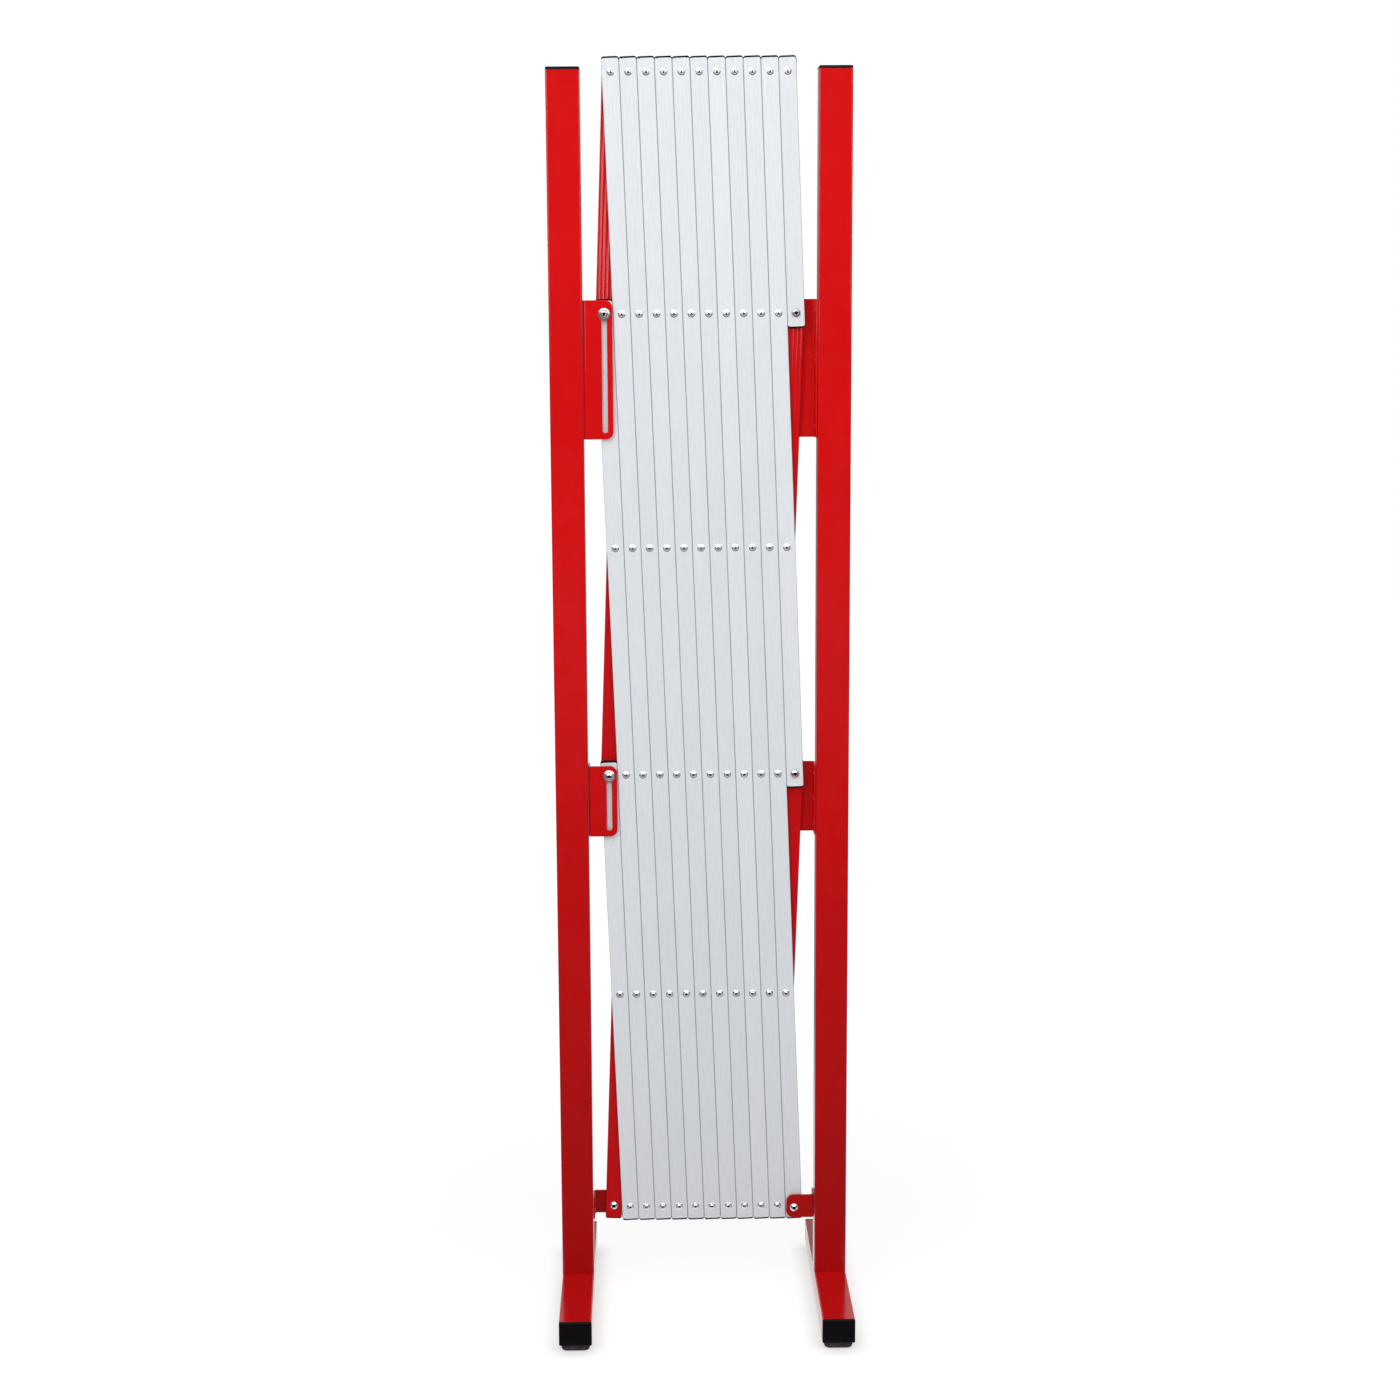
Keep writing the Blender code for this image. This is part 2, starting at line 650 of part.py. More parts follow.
def add_stand(name, side, carrier, bolt_carriers):
    """A post on its foot with its caps, pads, brackets, bolts and spacers."""
    x = side * POST_X
    foot_z = FOOT_BOTTOM_Z + FOOT_HEIGHT / 2
    piece(f"{name}_post", post, red, carrier, (x, 0, POST_BOTTOM_Z))
    piece(f"{name}_post_cap", post_cap, plastic, carrier, (x, 0, POST_BOTTOM_Z + POST_LENGTH))
    piece(f"{name}_foot", foot, red, carrier, (x, 0, foot_z))
    piece(f"{name}_foot_bolt", foot_bolt, steel, carrier, (x, 0, PAD_HEIGHT))
    for end, end_name in ((-1, "front"), (1, "rear")):
        turn = (math.radians(-90 * end), 0, 0)
        piece(f"{name}_{end_name}_cap", foot_cap, plastic, carrier, (x, end * FOOT_LENGTH / 2, foot_z), turn)
        pad_y = end * (FOOT_LENGTH - PAD_LENGTH) / 2
        piece(f"{name}_{end_name}_pad", pad, rubber, carrier, (x, pad_y, 0))
    for where, (row, above, below, slot, *screws) in BRACKETS.items():
        # The slotted tabs are in front on the left and behind on the right, the lower ones the other way
        face = side if slot else -side
        place = (side * BOLT_COLUMN_X, 0, row_z(row))
        tab_seat = face * (TAB_OUTER_Y + SEAT_GAP)
        slat_seat = -face * (SLAT_OUTER_Y + SEAT_GAP) if slot else face * (SLAT_INNER_Y - SEAT_GAP)
        head_seat, nut_seat = (tab_seat, slat_seat) if slot or face < 0 else (slat_seat, tab_seat)
        bracket = bracket_mesh(side, face, above, below, slot, *screws)
        rider = bolt_carriers.get(row, carrier)
        piece(f"{name}_{where}_bracket", bracket, red, carrier, place)
        piece(f"{name}_{where}_bolt", bolt_mesh(head_seat, nut_seat, bool(slot)), steel, rider, place)
        piece(f"{name}_{where}_spacer", spacer_mesh(face), plastic, rider, place)


# The tree of bodies: each slat hangs from the first slat that reaches it from the left stand, at their
# rivet, and the right stand from the last white slat that comes down to the bottom row
carriers = {}


def add_pivot(slat, row, parent):
    """The empty on the pivot by which a slat hangs on the body before it."""
    place = (column_x(column_of(*slat, row)), 0, row_z(row))
    carriers[slat] = body_axis(slat_name(*slat) + "_pivot", place, parent)


left_base = body_axis("left_stand", (-POST_X, 0, 0))
reached = [("red", HALF_ROWS)]
add_pivot(reached[0], ROWS, left_base)
for colour, number in reached:
    other_colour = "red" if colour == "white" else "white"
    for row, other in crossings(colour, number):
        if (other_colour, other) not in carriers:
            add_pivot((other_colour, other), row, carriers[colour, number])
            reached.append((other_colour, other))
last_slat = carriers["white", SLATS_PER_LAYER - HALF_ROWS + 1]
right_base = body_axis("right_stand", (BOLT_COLUMN_X, 0, BOTTOM_ROW_Z), last_slat)

for (colour, number), carrier in carriers.items():
    add_slat(colour, number, carrier)

# A slotted bracket's bolt goes with the short slat that ends at it
left_riders = {row: carriers["white", (ROWS - row) // 2] for row in (UPPER_ROW, MIDDLE_ROW)}
right_riders = {row: carriers["red", (COLUMNS + row) // 2] for row in (UPPER_ROW, MIDDLE_ROW)}
add_stand("left", -1, left_base, left_riders)
add_stand("right", 1, right_base, right_riders)
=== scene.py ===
"""Dresses the folding safety barrier: its paint, end plugs, rivets, bolts, bent brackets, caps and pads.

Metres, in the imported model's frame: +Z up, the white slats towards -Y, the origin on the floor.
"""

import math
from functools import partial

import bmesh
import bpy
from mathutils import Matrix, Vector


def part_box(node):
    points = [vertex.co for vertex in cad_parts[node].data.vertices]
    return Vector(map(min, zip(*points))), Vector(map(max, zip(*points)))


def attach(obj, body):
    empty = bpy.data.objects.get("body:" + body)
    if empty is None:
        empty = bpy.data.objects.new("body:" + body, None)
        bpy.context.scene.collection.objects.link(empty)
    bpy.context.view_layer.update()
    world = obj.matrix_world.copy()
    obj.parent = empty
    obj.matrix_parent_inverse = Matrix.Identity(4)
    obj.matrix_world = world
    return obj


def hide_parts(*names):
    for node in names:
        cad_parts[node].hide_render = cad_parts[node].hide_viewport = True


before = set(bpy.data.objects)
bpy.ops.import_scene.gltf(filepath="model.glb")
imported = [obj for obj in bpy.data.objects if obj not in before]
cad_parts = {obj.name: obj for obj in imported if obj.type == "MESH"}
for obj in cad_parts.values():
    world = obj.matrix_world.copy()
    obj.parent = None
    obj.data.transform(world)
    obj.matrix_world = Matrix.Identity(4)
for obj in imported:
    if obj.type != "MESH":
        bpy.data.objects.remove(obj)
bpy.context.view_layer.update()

# Studio: the camera stands 2.9 m in front at chest height, with a soft lamp on each side of it, one
# overhead and a weak bluish one low down. The barrier's gloss sees white above and behind it, a white
# floor up to a little way in front of it, and a dark room round the camera.
CAMERA_PLACE = (-0.0651, -2.8747, 1.2760)
CAMERA_YAW = 0.011391
CAMERA_PITCH = 0.171616
CAMERA_ROLL = -0.006072
CAMERA_SHIFT = 0.017652
CAMERA_SENSOR = 36.0
CAMERA_LENS = 61.048
SOFTBOX_TARGET = (0, 0, 0.85)
SOFTBOX_SIZE = (0.9, 1.5)
WHITE_LIGHT = (1, 1, 1)
BLUISH_LIGHT = (0.84, 0.85, 1.0)
FLOOR_SIZE = 9.0
FLOOR_GREY = (0.8, 0.8, 0.8, 1)
SHADOW_GREY = (0.20, 0.185, 0.18, 1)
PAINTED_SHADOW_REACH = 0.025
ROOM_FILL = 0.2
WHITE_FLOOR_FRONT = -0.10


def add_node(tree, kind, inputs=None, **settings):
    """A node with its settings, each input a value or another node's output."""
    made = tree.nodes.new(kind)
    for setting, value in settings.items():
        setattr(made, setting, value)
    for key, value in (inputs or {}).items():
        if isinstance(value, bpy.types.NodeSocket):
            tree.links.new(value, made.inputs[key])
        else:
            made.inputs[key].default_value = value
    return made


def ranged(tree, value, before, after):
    """Takes a value from one range to another, and holds it at its ends."""
    inputs = {"Value": value, "From Min": before[0], "From Max": before[1]}
    inputs |= {"To Min": after[0], "To Max": after[1]}
    return add_node(tree, "ShaderNodeMapRange", inputs).outputs["Result"]


def add_lamp(name, place, target, size, power, colour):
    """A soft rectangular lamp that faces a point, with its power in watts. The camera doesn't see it."""
    data = bpy.data.lights.new(name, "AREA")
    data.shape = "RECTANGLE"
    data.size, data.size_y = size
    data.energy = power
    data.color = colour
    lamp = bpy.data.objects.new(name, data)
    bpy.context.scene.collection.objects.link(lamp)
    lamp.location = place
    lamp.rotation_euler = (Vector(target) - Vector(place)).to_track_quat("-Z", "Y").to_euler()
    lamp.visible_camera = False
    return lamp


camera = bpy.data.objects.new("camera", bpy.data.cameras.new("camera"))
bpy.context.scene.collection.objects.link(camera)
bpy.context.scene.camera = camera
camera.data.sensor_width = CAMERA_SENSOR
camera.data.lens = CAMERA_LENS
camera.data.shift_x = CAMERA_SHIFT
camera.matrix_world = (
    Matrix.Translation(CAMERA_PLACE)
    @ Matrix.Rotation(-CAMERA_YAW, 4, "Z")
    @ Matrix.Rotation(math.pi / 2 - CAMERA_PITCH, 4, "X")
    @ Matrix.Rotation(CAMERA_ROLL, 4, "Z")
)
bpy.context.scene.view_settings.view_transform = "Standard"

add_lamp("left_softbox", (-1.0, -2.1, 1.9), SOFTBOX_TARGET, SOFTBOX_SIZE, 18, WHITE_LIGHT)
add_lamp("right_softbox", (1.1, -2.1, 1.9), SOFTBOX_TARGET, SOFTBOX_SIZE, 15, WHITE_LIGHT)
add_lamp("overhead", (-0.35, -1.6, 2.8), (0, 0, 0.9), (1.6, 1.0), 12, WHITE_LIGHT)
low_fill = add_lamp("low_fill", (0.0, -2.2, 0.5), (0, 0, 0.35), (1.6, 0.5), 5.4, BLUISH_LIGHT)
low_fill.visible_glossy = False

floor_shape = bmesh.new()
bmesh.ops.create_grid(floor_shape, x_segments=1, y_segments=1, size=FLOOR_SIZE / 2)
floor_mesh = bpy.data.meshes.new("floor")
floor_shape.to_mesh(floor_mesh)
floor_shape.free()
floor = bpy.data.objects.new("floor", floor_mesh)
bpy.context.scene.collection.objects.link(floor)

floor_material = bpy.data.materials.new("white_floor")
floor_material.use_nodes = True
floor_tree = floor_material.node_tree
floor_tree.nodes.clear()
rays = add_node(floor_tree, "ShaderNodeLightPath")
floor_point = add_node(floor_tree, "ShaderNodeTexCoord").outputs["Object"]
floor_y = add_node(floor_tree, "ShaderNodeSeparateXYZ", {"Vector": floor_point}).outputs["Y"]
away = add_node(floor_tree, "ShaderNodeVectorMath", {0: floor_point}, operation="LENGTH").outputs["Value"]
occlusion = add_node(floor_tree, "ShaderNodeAmbientOcclusion", {"Distance": PAINTED_SHADOW_REACH}).outputs["AO"]
lit = add_node(floor_tree, "ShaderNodeBsdfDiffuse", {"Color": FLOOR_GREY}).outputs["BSDF"]
soft_shadow = add_node(floor_tree, "ShaderNodeBsdfDiffuse", {"Color": SHADOW_GREY}).outputs["BSDF"]
# The camera sees a glowing floor, a little greyer round the barrier, with painted shadow where a piece
# touches it
white_away = ranged(floor_tree, away, (0.4, 1.3), (0.91, 1.0))
painted_contact_shadow = ranged(floor_tree, occlusion, (0.2, 1.0), (0.6, 1.0))
strength = add_node(
    floor_tree, "ShaderNodeMath", {0: white_away, 1: painted_contact_shadow}, operation="MULTIPLY"
).outputs["Value"]
glow = add_node(floor_tree, "ShaderNodeEmission", {"Strength": strength}).outputs["Emission"]
seen = add_node(floor_tree, "ShaderNodeAddShader", {0: glow, 1: soft_shadow}).outputs["Shader"]
# Gloss sees it dark far in front, white near the barrier and dimmer well behind it
far_part = ranged(floor_tree, floor_y, (-2.5, -1.0), (0.03, 0.08))
white_part = ranged(floor_tree, floor_y, (WHITE_FLOOR_FRONT - 0.1, WHITE_FLOOR_FRONT), (far_part, 0.9))
white_part = ranged(floor_tree, floor_y, (0.5, 1.2), (white_part, 0.3))
mirrored = add_node(floor_tree, "ShaderNodeEmission", {"Strength": white_part}).outputs["Emission"]
shiny_rays = add_node(
    floor_tree,
    "ShaderNodeMath",
    {0: rays.outputs["Is Glossy Ray"], 1: rays.outputs["Is Transmission Ray"]},
    operation="MAXIMUM",
).outputs["Value"]
bounced = add_node(
    floor_tree, "ShaderNodeMixShader", {"Fac": shiny_rays, 1: lit, 2: mirrored}
).outputs["Shader"]
floor_look = add_node(
    floor_tree, "ShaderNodeMixShader", {"Fac": rays.outputs["Is Camera Ray"], 1: bounced, 2: seen}
).outputs["Shader"]
add_node(floor_tree, "ShaderNodeOutputMaterial", {"Surface": floor_look})
floor_mesh.materials.append(floor_material)

world = bpy.data.worlds.new("studio")
bpy.context.scene.world = world
world.use_nodes = True
world_tree = world.node_tree
world_tree.nodes.clear()
rays = add_node(world_tree, "ShaderNodeLightPath")
way = add_node(world_tree, "ShaderNodeTexCoord").outputs["Generated"]
way = add_node(world_tree, "ShaderNodeSeparateXYZ", {"Vector": way}).outputs
# Gloss sees the room dark in front, white above, and behind the barrier dim up to eye level
dark_front = ranged(world_tree, way["Z"], (-0.15, 0.05), (0.04, 0.10))
white_above = ranged(world_tree, way["Z"], (0.28, 0.45), (dark_front, 0.9))
dim_level = ranged(world_tree, way["Z"], (0.0, 0.15), (0.3, 0.9))
white_behind = ranged(world_tree, way["Y"], (0.3, 0.8), (white_above, dim_level))
fill = add_node(
    world_tree, "ShaderNodeBackground", {"Color": (1, 1, 1, 1), "Strength": ROOM_FILL}
).outputs["Background"]
mirrored = add_node(world_tree, "ShaderNodeBackground", {"Strength": white_behind}).outputs["Background"]
backdrop = add_node(
    world_tree, "ShaderNodeBackground", {"Color": (1, 1, 1, 1), "Strength": 1}
).outputs["Background"]
shiny_rays = add_node(
    world_tree,
    "ShaderNodeMath",
    {0: rays.outputs["Is Glossy Ray"], 1: rays.outputs["Is Transmission Ray"]},
    operation="MAXIMUM",
).outputs["Value"]
unseen = add_node(
    world_tree, "ShaderNodeMixShader", {"Fac": shiny_rays, 1: fill, 2: mirrored}
).outputs["Shader"]
world_look = add_node(
    world_tree, "ShaderNodeMixShader", {"Fac": rays.outputs["Is Camera Ray"], 1: unseen, 2: backdrop}
).outputs["Shader"]
add_node(world_tree, "ShaderNodeOutputWorld", {"Surface": world_look})


# Rubber pads: one under each end of each foot, moulded black rubber with a rounded lower edge and two
# grip grooves round it. They are glued to the foot and take all the weight.
PAD_RUBBER = (0.060, 0.044, 0.054, 1)
PAD_CORNER = 0.008
SMOOTH_BELOW = 32
MERGE_DISTANCE = 0.000002
CORNER_STEPS = 6


def finish(name, colour, roughness, metallic=0.0, specular=0.5):
    """A new material and its shader, with what is the same all over the surface set on the shader."""
    material = bpy.data.materials.new(name)
    material.use_nodes = True
    shader = material.node_tree.nodes["Principled BSDF"]
    shader.inputs["Base Color"].default_value = colour
    shader.inputs["Roughness"].default_value = roughness
    shader.inputs["Metallic"].default_value = metallic
    shader.inputs["Specular IOR Level"].default_value = specular
    return material, shader


def object_point(material, stretch=(1, 1, 1), turn=(0, 0, 0)):
    """The point on the piece, for a pattern that is turned and then stretched to run one way."""
    tree = material.node_tree
    point = add_node(tree, "ShaderNodeTexCoord").outputs["Object"]
    inputs = {"Vector": point, "Rotation": turn, "Scale": stretch}
    return add_node(tree, "ShaderNodeMapping", inputs, vector_type="TEXTURE").outputs["Vector"]


def noise(material, point, scale, detail=2.0, roughness=0.5):
    """A soft random pattern, with a scale in bumps for each metre."""
    inputs = {"Vector": point, "Scale": scale, "Detail": detail, "Roughness": roughness}
    return add_node(material.node_tree, "ShaderNodeTexNoise", inputs).outputs["Fac"]


def varied(material, amount, low, high):
    """Takes a pattern from its usual spread to run between two values."""
    return ranged(material.node_tree, amount, (0.3, 0.7), (low, high))


def mottled(material, shader, amount, darker, lighter, recess=None):
    """Colours the surface between two close shades, and paints shade into its recesses in a third colour
    where there are any.
    """
    # Sockets 6 and 7 of the node take its two colours
    inputs = {0: varied(material, amount, 0, 1), 6: darker, 7: lighter}
    mix = add_node(material.node_tree, "ShaderNodeMix", inputs, data_type="RGBA")
    if recess:
        # Painted shade in the recesses, by the share each point carries
        inside = add_node(material.node_tree, "ShaderNodeAttribute", attribute_name="recess").outputs["Fac"]
        inputs = {0: inside, 6: mix.outputs[2], 7: recess}
        mix = add_node(material.node_tree, "ShaderNodeMix", inputs, data_type="RGBA")
    material.node_tree.links.new(mix.outputs[2], shader.inputs["Base Color"])


def rough_by(material, shader, amount, low, high):
    """Makes the surface smoother and rougher by a pattern."""
    material.node_tree.links.new(varied(material, amount, low, high), shader.inputs["Roughness"])


def bumped(material, shader, height, depth):
    """Raises the surface by a pattern, to a depth in metres."""
    bump = add_node(material.node_tree, "ShaderNodeBump", {"Height": height, "Distance": depth})
    material.node_tree.links.new(bump.outputs["Normal"], shader.inputs["Normal"])


def shades(colour, spread):
    """A colour a little darker and a little lighter."""
    return [(*(min(1, part * share) for part in colour[:3]), 1) for share in (1 - spread, 1 + spread)]


def rounded_ring(width, depth, corner):
    """The points of a rectangle with round corners, about the origin."""
    x = width / 2 - corner
    y = depth / 2 - corner
    points = []
    for quarter, (cx, cy) in enumerate(((x, y), (-x, y), (-x, -y), (x, -y))):
        for step in range(CORNER_STEPS + 1):
            turn = math.radians(90 * (quarter + step / CORNER_STEPS))
            points.append((cx + corner * math.cos(turn), cy + corner * math.sin(turn)))
    return points


def skin(name, rings, place=Matrix(), recess=()):
    """A closed skin over rings of as many points each, moved to its place. Rings in a recess may carry a
    share of painted shade.
    """
    count = len(rings[0])
    faces = [tuple(range(count)), tuple(range((len(rings) - 1) * count, len(rings) * count))]
    for level in range(len(rings) - 1):
        for n in range(count):
            near = level * count + n
            beside = level * count + (n + 1) % count
            faces.append((near, beside, beside + count, near + count))
    mesh = bpy.data.meshes.new(name)
    mesh.from_pydata([point for ring in rings for point in ring], [], faces)
    if recess:
        inside = mesh.attributes.new("recess", "FLOAT", "POINT")
        inside.data.foreach_set("value", [share for share in recess for _ in range(count)])
    shape = bmesh.new()
    shape.from_mesh(mesh)
    bmesh.ops.remove_doubles(shape, verts=shape.verts, dist=MERGE_DISTANCE)
    bmesh.ops.dissolve_degenerate(shape, dist=MERGE_DISTANCE, edges=shape.edges)
    shape.transform(place)
    bmesh.ops.recalc_face_normals(shape, faces=shape.faces)
    shape.to_mesh(mesh)
    shape.free()
    return mesh


def add_piece(name, mesh, material, body, slot, *nodes):
    """A finished piece of the barrier on the body that carries it, shown in place of its CAD nodes."""
    mesh.materials.clear()
    mesh.materials.append(material)
    mesh.shade_smooth()
    mesh.set_sharp_from_angle(angle=math.radians(SMOOTH_BELOW))
    piece = bpy.data.objects.new(name, mesh)
    bpy.context.scene.collection.objects.link(piece)
    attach(piece, body)
    if nodes:
        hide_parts(*nodes)
    return piece


def middle_of(node):
    """The middle of a CAD node's box, and the box's size."""
    low, high = (Vector(corner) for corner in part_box(node))
    return (low + high) / 2, high - low


pad_rubber, shader = finish("pad_rubber", PAD_RUBBER, 0.7, specular=0.3)
point = object_point(pad_rubber)
mottled(pad_rubber, shader, noise(pad_rubber, point, 90), *shades(PAD_RUBBER, 0.25))
rough_by(pad_rubber, shader, noise(pad_rubber, point, 300), 0.6, 0.85)
bumped(pad_rubber, shader, noise(pad_rubber, point, 1400), 0.0002)

for side in ("left", "right"):
    for end in ("front", "rear"):
        node = f"{side}_{end}_pad"
        middle, size = middle_of(node)
        # How far in from the full outline the side stands at each share of the height
        profile = ((0, 0.0022), (0.06, 0.0011), (0.2, 0.0004), (0.34, 0.0), (0.42, 0.0006), (0.5, 0.0))
        profile += ((0.6, 0.0), (0.68, 0.0006), (0.76, 0.0), (1, 0.0))
        rings = []
        for share, inset in profile:
            outline = rounded_ring(size.x - 2 * inset, size.y - 2 * inset, PAD_CORNER - inset)
            height = middle.z + (share - 0.5) * size.z
            rings.append([(middle.x + x, middle.y + y, height) for x, y in outline])
        add_piece(f"{node}_moulding", skin(node, rings), pad_rubber, f"{side}_stand", "rubber_pad", node)


# Feet and posts: 40 by 30 mm steel tube with round corners, powder coated in a deep gloss red. Each
# post is welded to a plate in its lower end and stands on the middle of its foot.
COAT_RED = (0.73, 0.0036, 0.0048, 1)
TUBE_CORNER = 0.0016
PRESSED_STEP = 0.0005
FLUTE_SHARPNESS = 4.0
# Painted shade on the posts, brackets and screws: the heights over which their coat darkens towards the
# floor, and the share of its colour left at the bottom
PAINTED_SHADE_HEIGHTS = (0.05, 0.95)
POST_PAINTED_SHADE_SHARE = 0.60


def new_tree(name, sockets):
    """A Geometry Nodes tree with named inputs, and its group input and output nodes."""
    tree = bpy.data.node_groups.new(name, "GeometryNodeTree")
    tree.interface.new_socket("Geometry", in_out="INPUT", socket_type="NodeSocketGeometry")
    tree.interface.new_socket("Geometry", in_out="OUTPUT", socket_type="NodeSocketGeometry")
    for label, kind in sockets:
        tree.interface.new_socket(label, in_out="INPUT", socket_type=f"NodeSocket{kind}")
    return tree, add_node(tree, "NodeGroupInput").outputs, add_node(tree, "NodeGroupOutput")


def grown(name, start, tree, values):
    """The plain mesh that a tree makes from a mesh, with the tree's named inputs set."""
    helper = bpy.data.objects.new(name, start)
    bpy.context.scene.collection.objects.link(helper)
    modifier = helper.modifiers.new(name, "NODES")
    modifier.node_group = tree
    for socket in tree.interface.items_tree:
        if socket.item_type == "SOCKET" and socket.in_out == "INPUT" and socket.name in values:
            modifier[socket.identifier] = values[socket.name]
    graph = bpy.context.evaluated_depsgraph_get()
    mesh = bpy.data.meshes.new_from_object(helper.evaluated_get(graph))
    mesh.name = name
    helper.modifiers.clear()
    bpy.data.objects.remove(helper)
    return mesh


def math_node(tree, operation, first, second=0.0, third=0.0):
    """A sum in a tree, of values or other nodes' outputs."""
    inputs = {0: first, 1: second, 2: third}
    return add_node(tree, "ShaderNodeMath", inputs, operation=operation).outputs["Value"]


# The section tree draws a round-cornered rectangle, sinks shallow flutes into its two broad faces
# where there are any, and sweeps it down from the place as an extrusion press does. It can round the
# two corners of each end off. A strip of the given width along the long edges is marked as a recess,
# where painted shade goes for the gaps between slats.
section_sockets = [("Width", "Float"), ("Depth", "Float"), ("Corner", "Float"), ("Step", "Float")]
section_sockets += [("Flute Spacing", "Float"), ("Flute Depth", "Float"), ("Flutes Across", "Float")]
section_sockets += [("Length", "Float"), ("End Round", "Float"), ("Place", "Vector"), ("Turn", "Vector")]
section_sockets += [("Seam", "Float"), ("Material", "Material")]
section_tree, given, result = new_tree("pressed_section", section_sockets)
worked = partial(math_node, section_tree)
inputs = {"Width": given["Width"], "Height": given["Depth"]}
outline = add_node(section_tree, "GeometryNodeCurvePrimitiveQuadrilateral", inputs).outputs["Curve"]
outline = add_node(
    section_tree,
    "GeometryNodeFilletCurve",
    {"Curve": outline, "Count": CORNER_STEPS, "Radius": given["Corner"], "Limit Radius": True},
    mode="POLY",
).outputs["Curve"]
outline = add_node(
    section_tree, "GeometryNodeResampleCurve", {"Curve": outline, "Length": given["Step"]}, mode="LENGTH"
).outputs["Curve"]
place = add_node(section_tree, "GeometryNodeInputPosition").outputs["Position"]
parts = add_node(section_tree, "ShaderNodeSeparateXYZ", {"Vector": place}).outputs
across = worked("DIVIDE", worked("MULTIPLY", parts["X"], 2 * math.pi), given["Flute Spacing"])
wave = worked("MULTIPLY_ADD", worked("COSINE", across), -0.5, 0.5)
wave = worked("POWER", wave, FLUTE_SHARPNESS)
inside = worked("LESS_THAN", worked("ABSOLUTE", parts["X"]), worked("MULTIPLY", given["Flutes Across"], 0.5))
sunk = worked("MULTIPLY", worked("MULTIPLY", wave, inside), given["Flute Depth"])
inwards = worked("MULTIPLY", worked("SIGN", parts["Y"]), -1.0)
sideways = worked("MULTIPLY", sunk, inwards)
offset = add_node(section_tree, "ShaderNodeCombineXYZ", {"Y": sideways}).outputs["Vector"]
outline = add_node(
    section_tree, "GeometryNodeSetPosition", {"Geometry": outline, "Offset": offset}
).outputs["Geometry"]
inner = worked("SUBTRACT", worked("MULTIPLY", given["Width"], 0.5), given["Seam"])
outer = worked("GREATER_THAN", worked("ABSOLUTE", parts["X"]), inner)
inner = worked("SUBTRACT", worked("MULTIPLY", given["Depth"], 0.5), given["Corner"])
round_part = worked("GREATER_THAN", worked("ABSOLUTE", parts["Y"]), inner)
gap_shade = worked("MULTIPLY", outer, round_part)
# The long edges are marked to take painted shade
outline = add_node(
    section_tree, "GeometryNodeStoreNamedAttribute", {"Geometry": outline, "Name": "recess", "Value": gap_shade}
).outputs["Geometry"]
down = worked("MULTIPLY", given["Length"], -1.0)
end = add_node(section_tree, "ShaderNodeCombineXYZ", {"Z": down}).outputs["Vector"]
path = add_node(section_tree, "GeometryNodeCurvePrimitiveLine", {"End": end}).outputs["Curve"]
swept = add_node(
    section_tree, "GeometryNodeCurveToMesh", {"Curve": path, "Profile Curve": outline, "Fill Caps": True}
).outputs["Mesh"]
place = add_node(section_tree, "GeometryNodeInputPosition").outputs["Position"]
parts = add_node(section_tree, "ShaderNodeSeparateXYZ", {"Vector": place}).outputs
straight = worked("MULTIPLY_ADD", given["Width"], 0.5, worked("MULTIPLY", given["End Round"], -1.0))
past = worked("SUBTRACT", worked("ABSOLUTE", parts["X"]), straight)
past = worked("MINIMUM", worked("MAXIMUM", past, 0.0), given["End Round"])
square = worked("MULTIPLY", given["End Round"], given["End Round"])
left = worked("SUBTRACT", square, worked("MULTIPLY", past, past))
drop = worked("SUBTRACT", given["End Round"], worked("SQRT", worked("MAXIMUM", left, 0.0)))
above = worked("SIGN", worked("MULTIPLY_ADD", given["Length"], 0.5, parts["Z"]))
lowered = worked("MULTIPLY", worked("MULTIPLY", drop, above), -1.0)
offset = add_node(section_tree, "ShaderNodeCombineXYZ", {"Z": lowered}).outputs["Vector"]
swept = add_node(
    section_tree, "GeometryNodeSetPosition", {"Geometry": swept, "Offset": offset}
).outputs["Geometry"]
placed = add_node(
    section_tree,
    "GeometryNodeTransform",
    {"Geometry": swept, "Translation": given["Place"], "Rotation": given["Turn"]},
).outputs["Geometry"]
real = add_node(section_tree, "GeometryNodeRealizeInstances", {"Geometry": placed}).outputs["Geometry"]
real = add_node(
    section_tree, "GeometryNodeSetMaterial", {"Geometry": real, "Material": given["Material"]}
).outputs["Geometry"]
section_tree.links.new(real, result.inputs["Geometry"])


def pressed(name, material, **sizes):
    """A straight bar or tube from the section tree. Sizes are named as the tree's inputs are."""
    values = {"Step": PRESSED_STEP, "Flute Spacing": 1.0, "Flute Depth": 0.0, "Flutes Across": 0.0}
    values |= {"End Round": 0.0, "Seam": 0.0, "Material": material}
    for key, value in sizes.items():
        values[key.replace("_", " ")] = value
    return grown(name, bpy.data.meshes.new(name), section_tree, values)


def red_coat(name, shaded_share):
    """Gloss powder coat, with painted shade that darkens it towards the floor down to a share of its colour.
    """
    material, shader = finish(name, COAT_RED, 0.12)
    tree = material.node_tree
    point = object_point(material)
    clouds = varied(material, noise(material, point, 9, 3), 0.96, 1.04)
    height = add_node(tree, "ShaderNodeSeparateXYZ", {"Vector": point}).outputs["Z"]
    # Painted shade: the colour darkens with height towards the floor
    share = math_node(tree, "MULTIPLY", clouds, ranged(tree, height, PAINTED_SHADE_HEIGHTS, (shaded_share, 1.0)))
    inputs = {0: share, 6: (0, 0, 0, 1), 7: COAT_RED}
    mix = add_node(tree, "ShaderNodeMix", inputs, data_type="RGBA", clamp_factor=False)
    tree.links.new(mix.outputs[2], shader.inputs["Base Color"])
    rough_by(material, shader, noise(material, point, 45, 4, 0.6), 0.09, 0.16)
    bumped(material, shader, noise(material, point, 330, 2), 0.00002)
    return material


# The feet take the coat without painted shade; the posts, brackets and screws take a copy with painted shade
# towards the floor
foot_red = red_coat("red_foot_coat", 1.0)
coat_red = red_coat("red_powder_coat", POST_PAINTED_SHADE_SHARE)

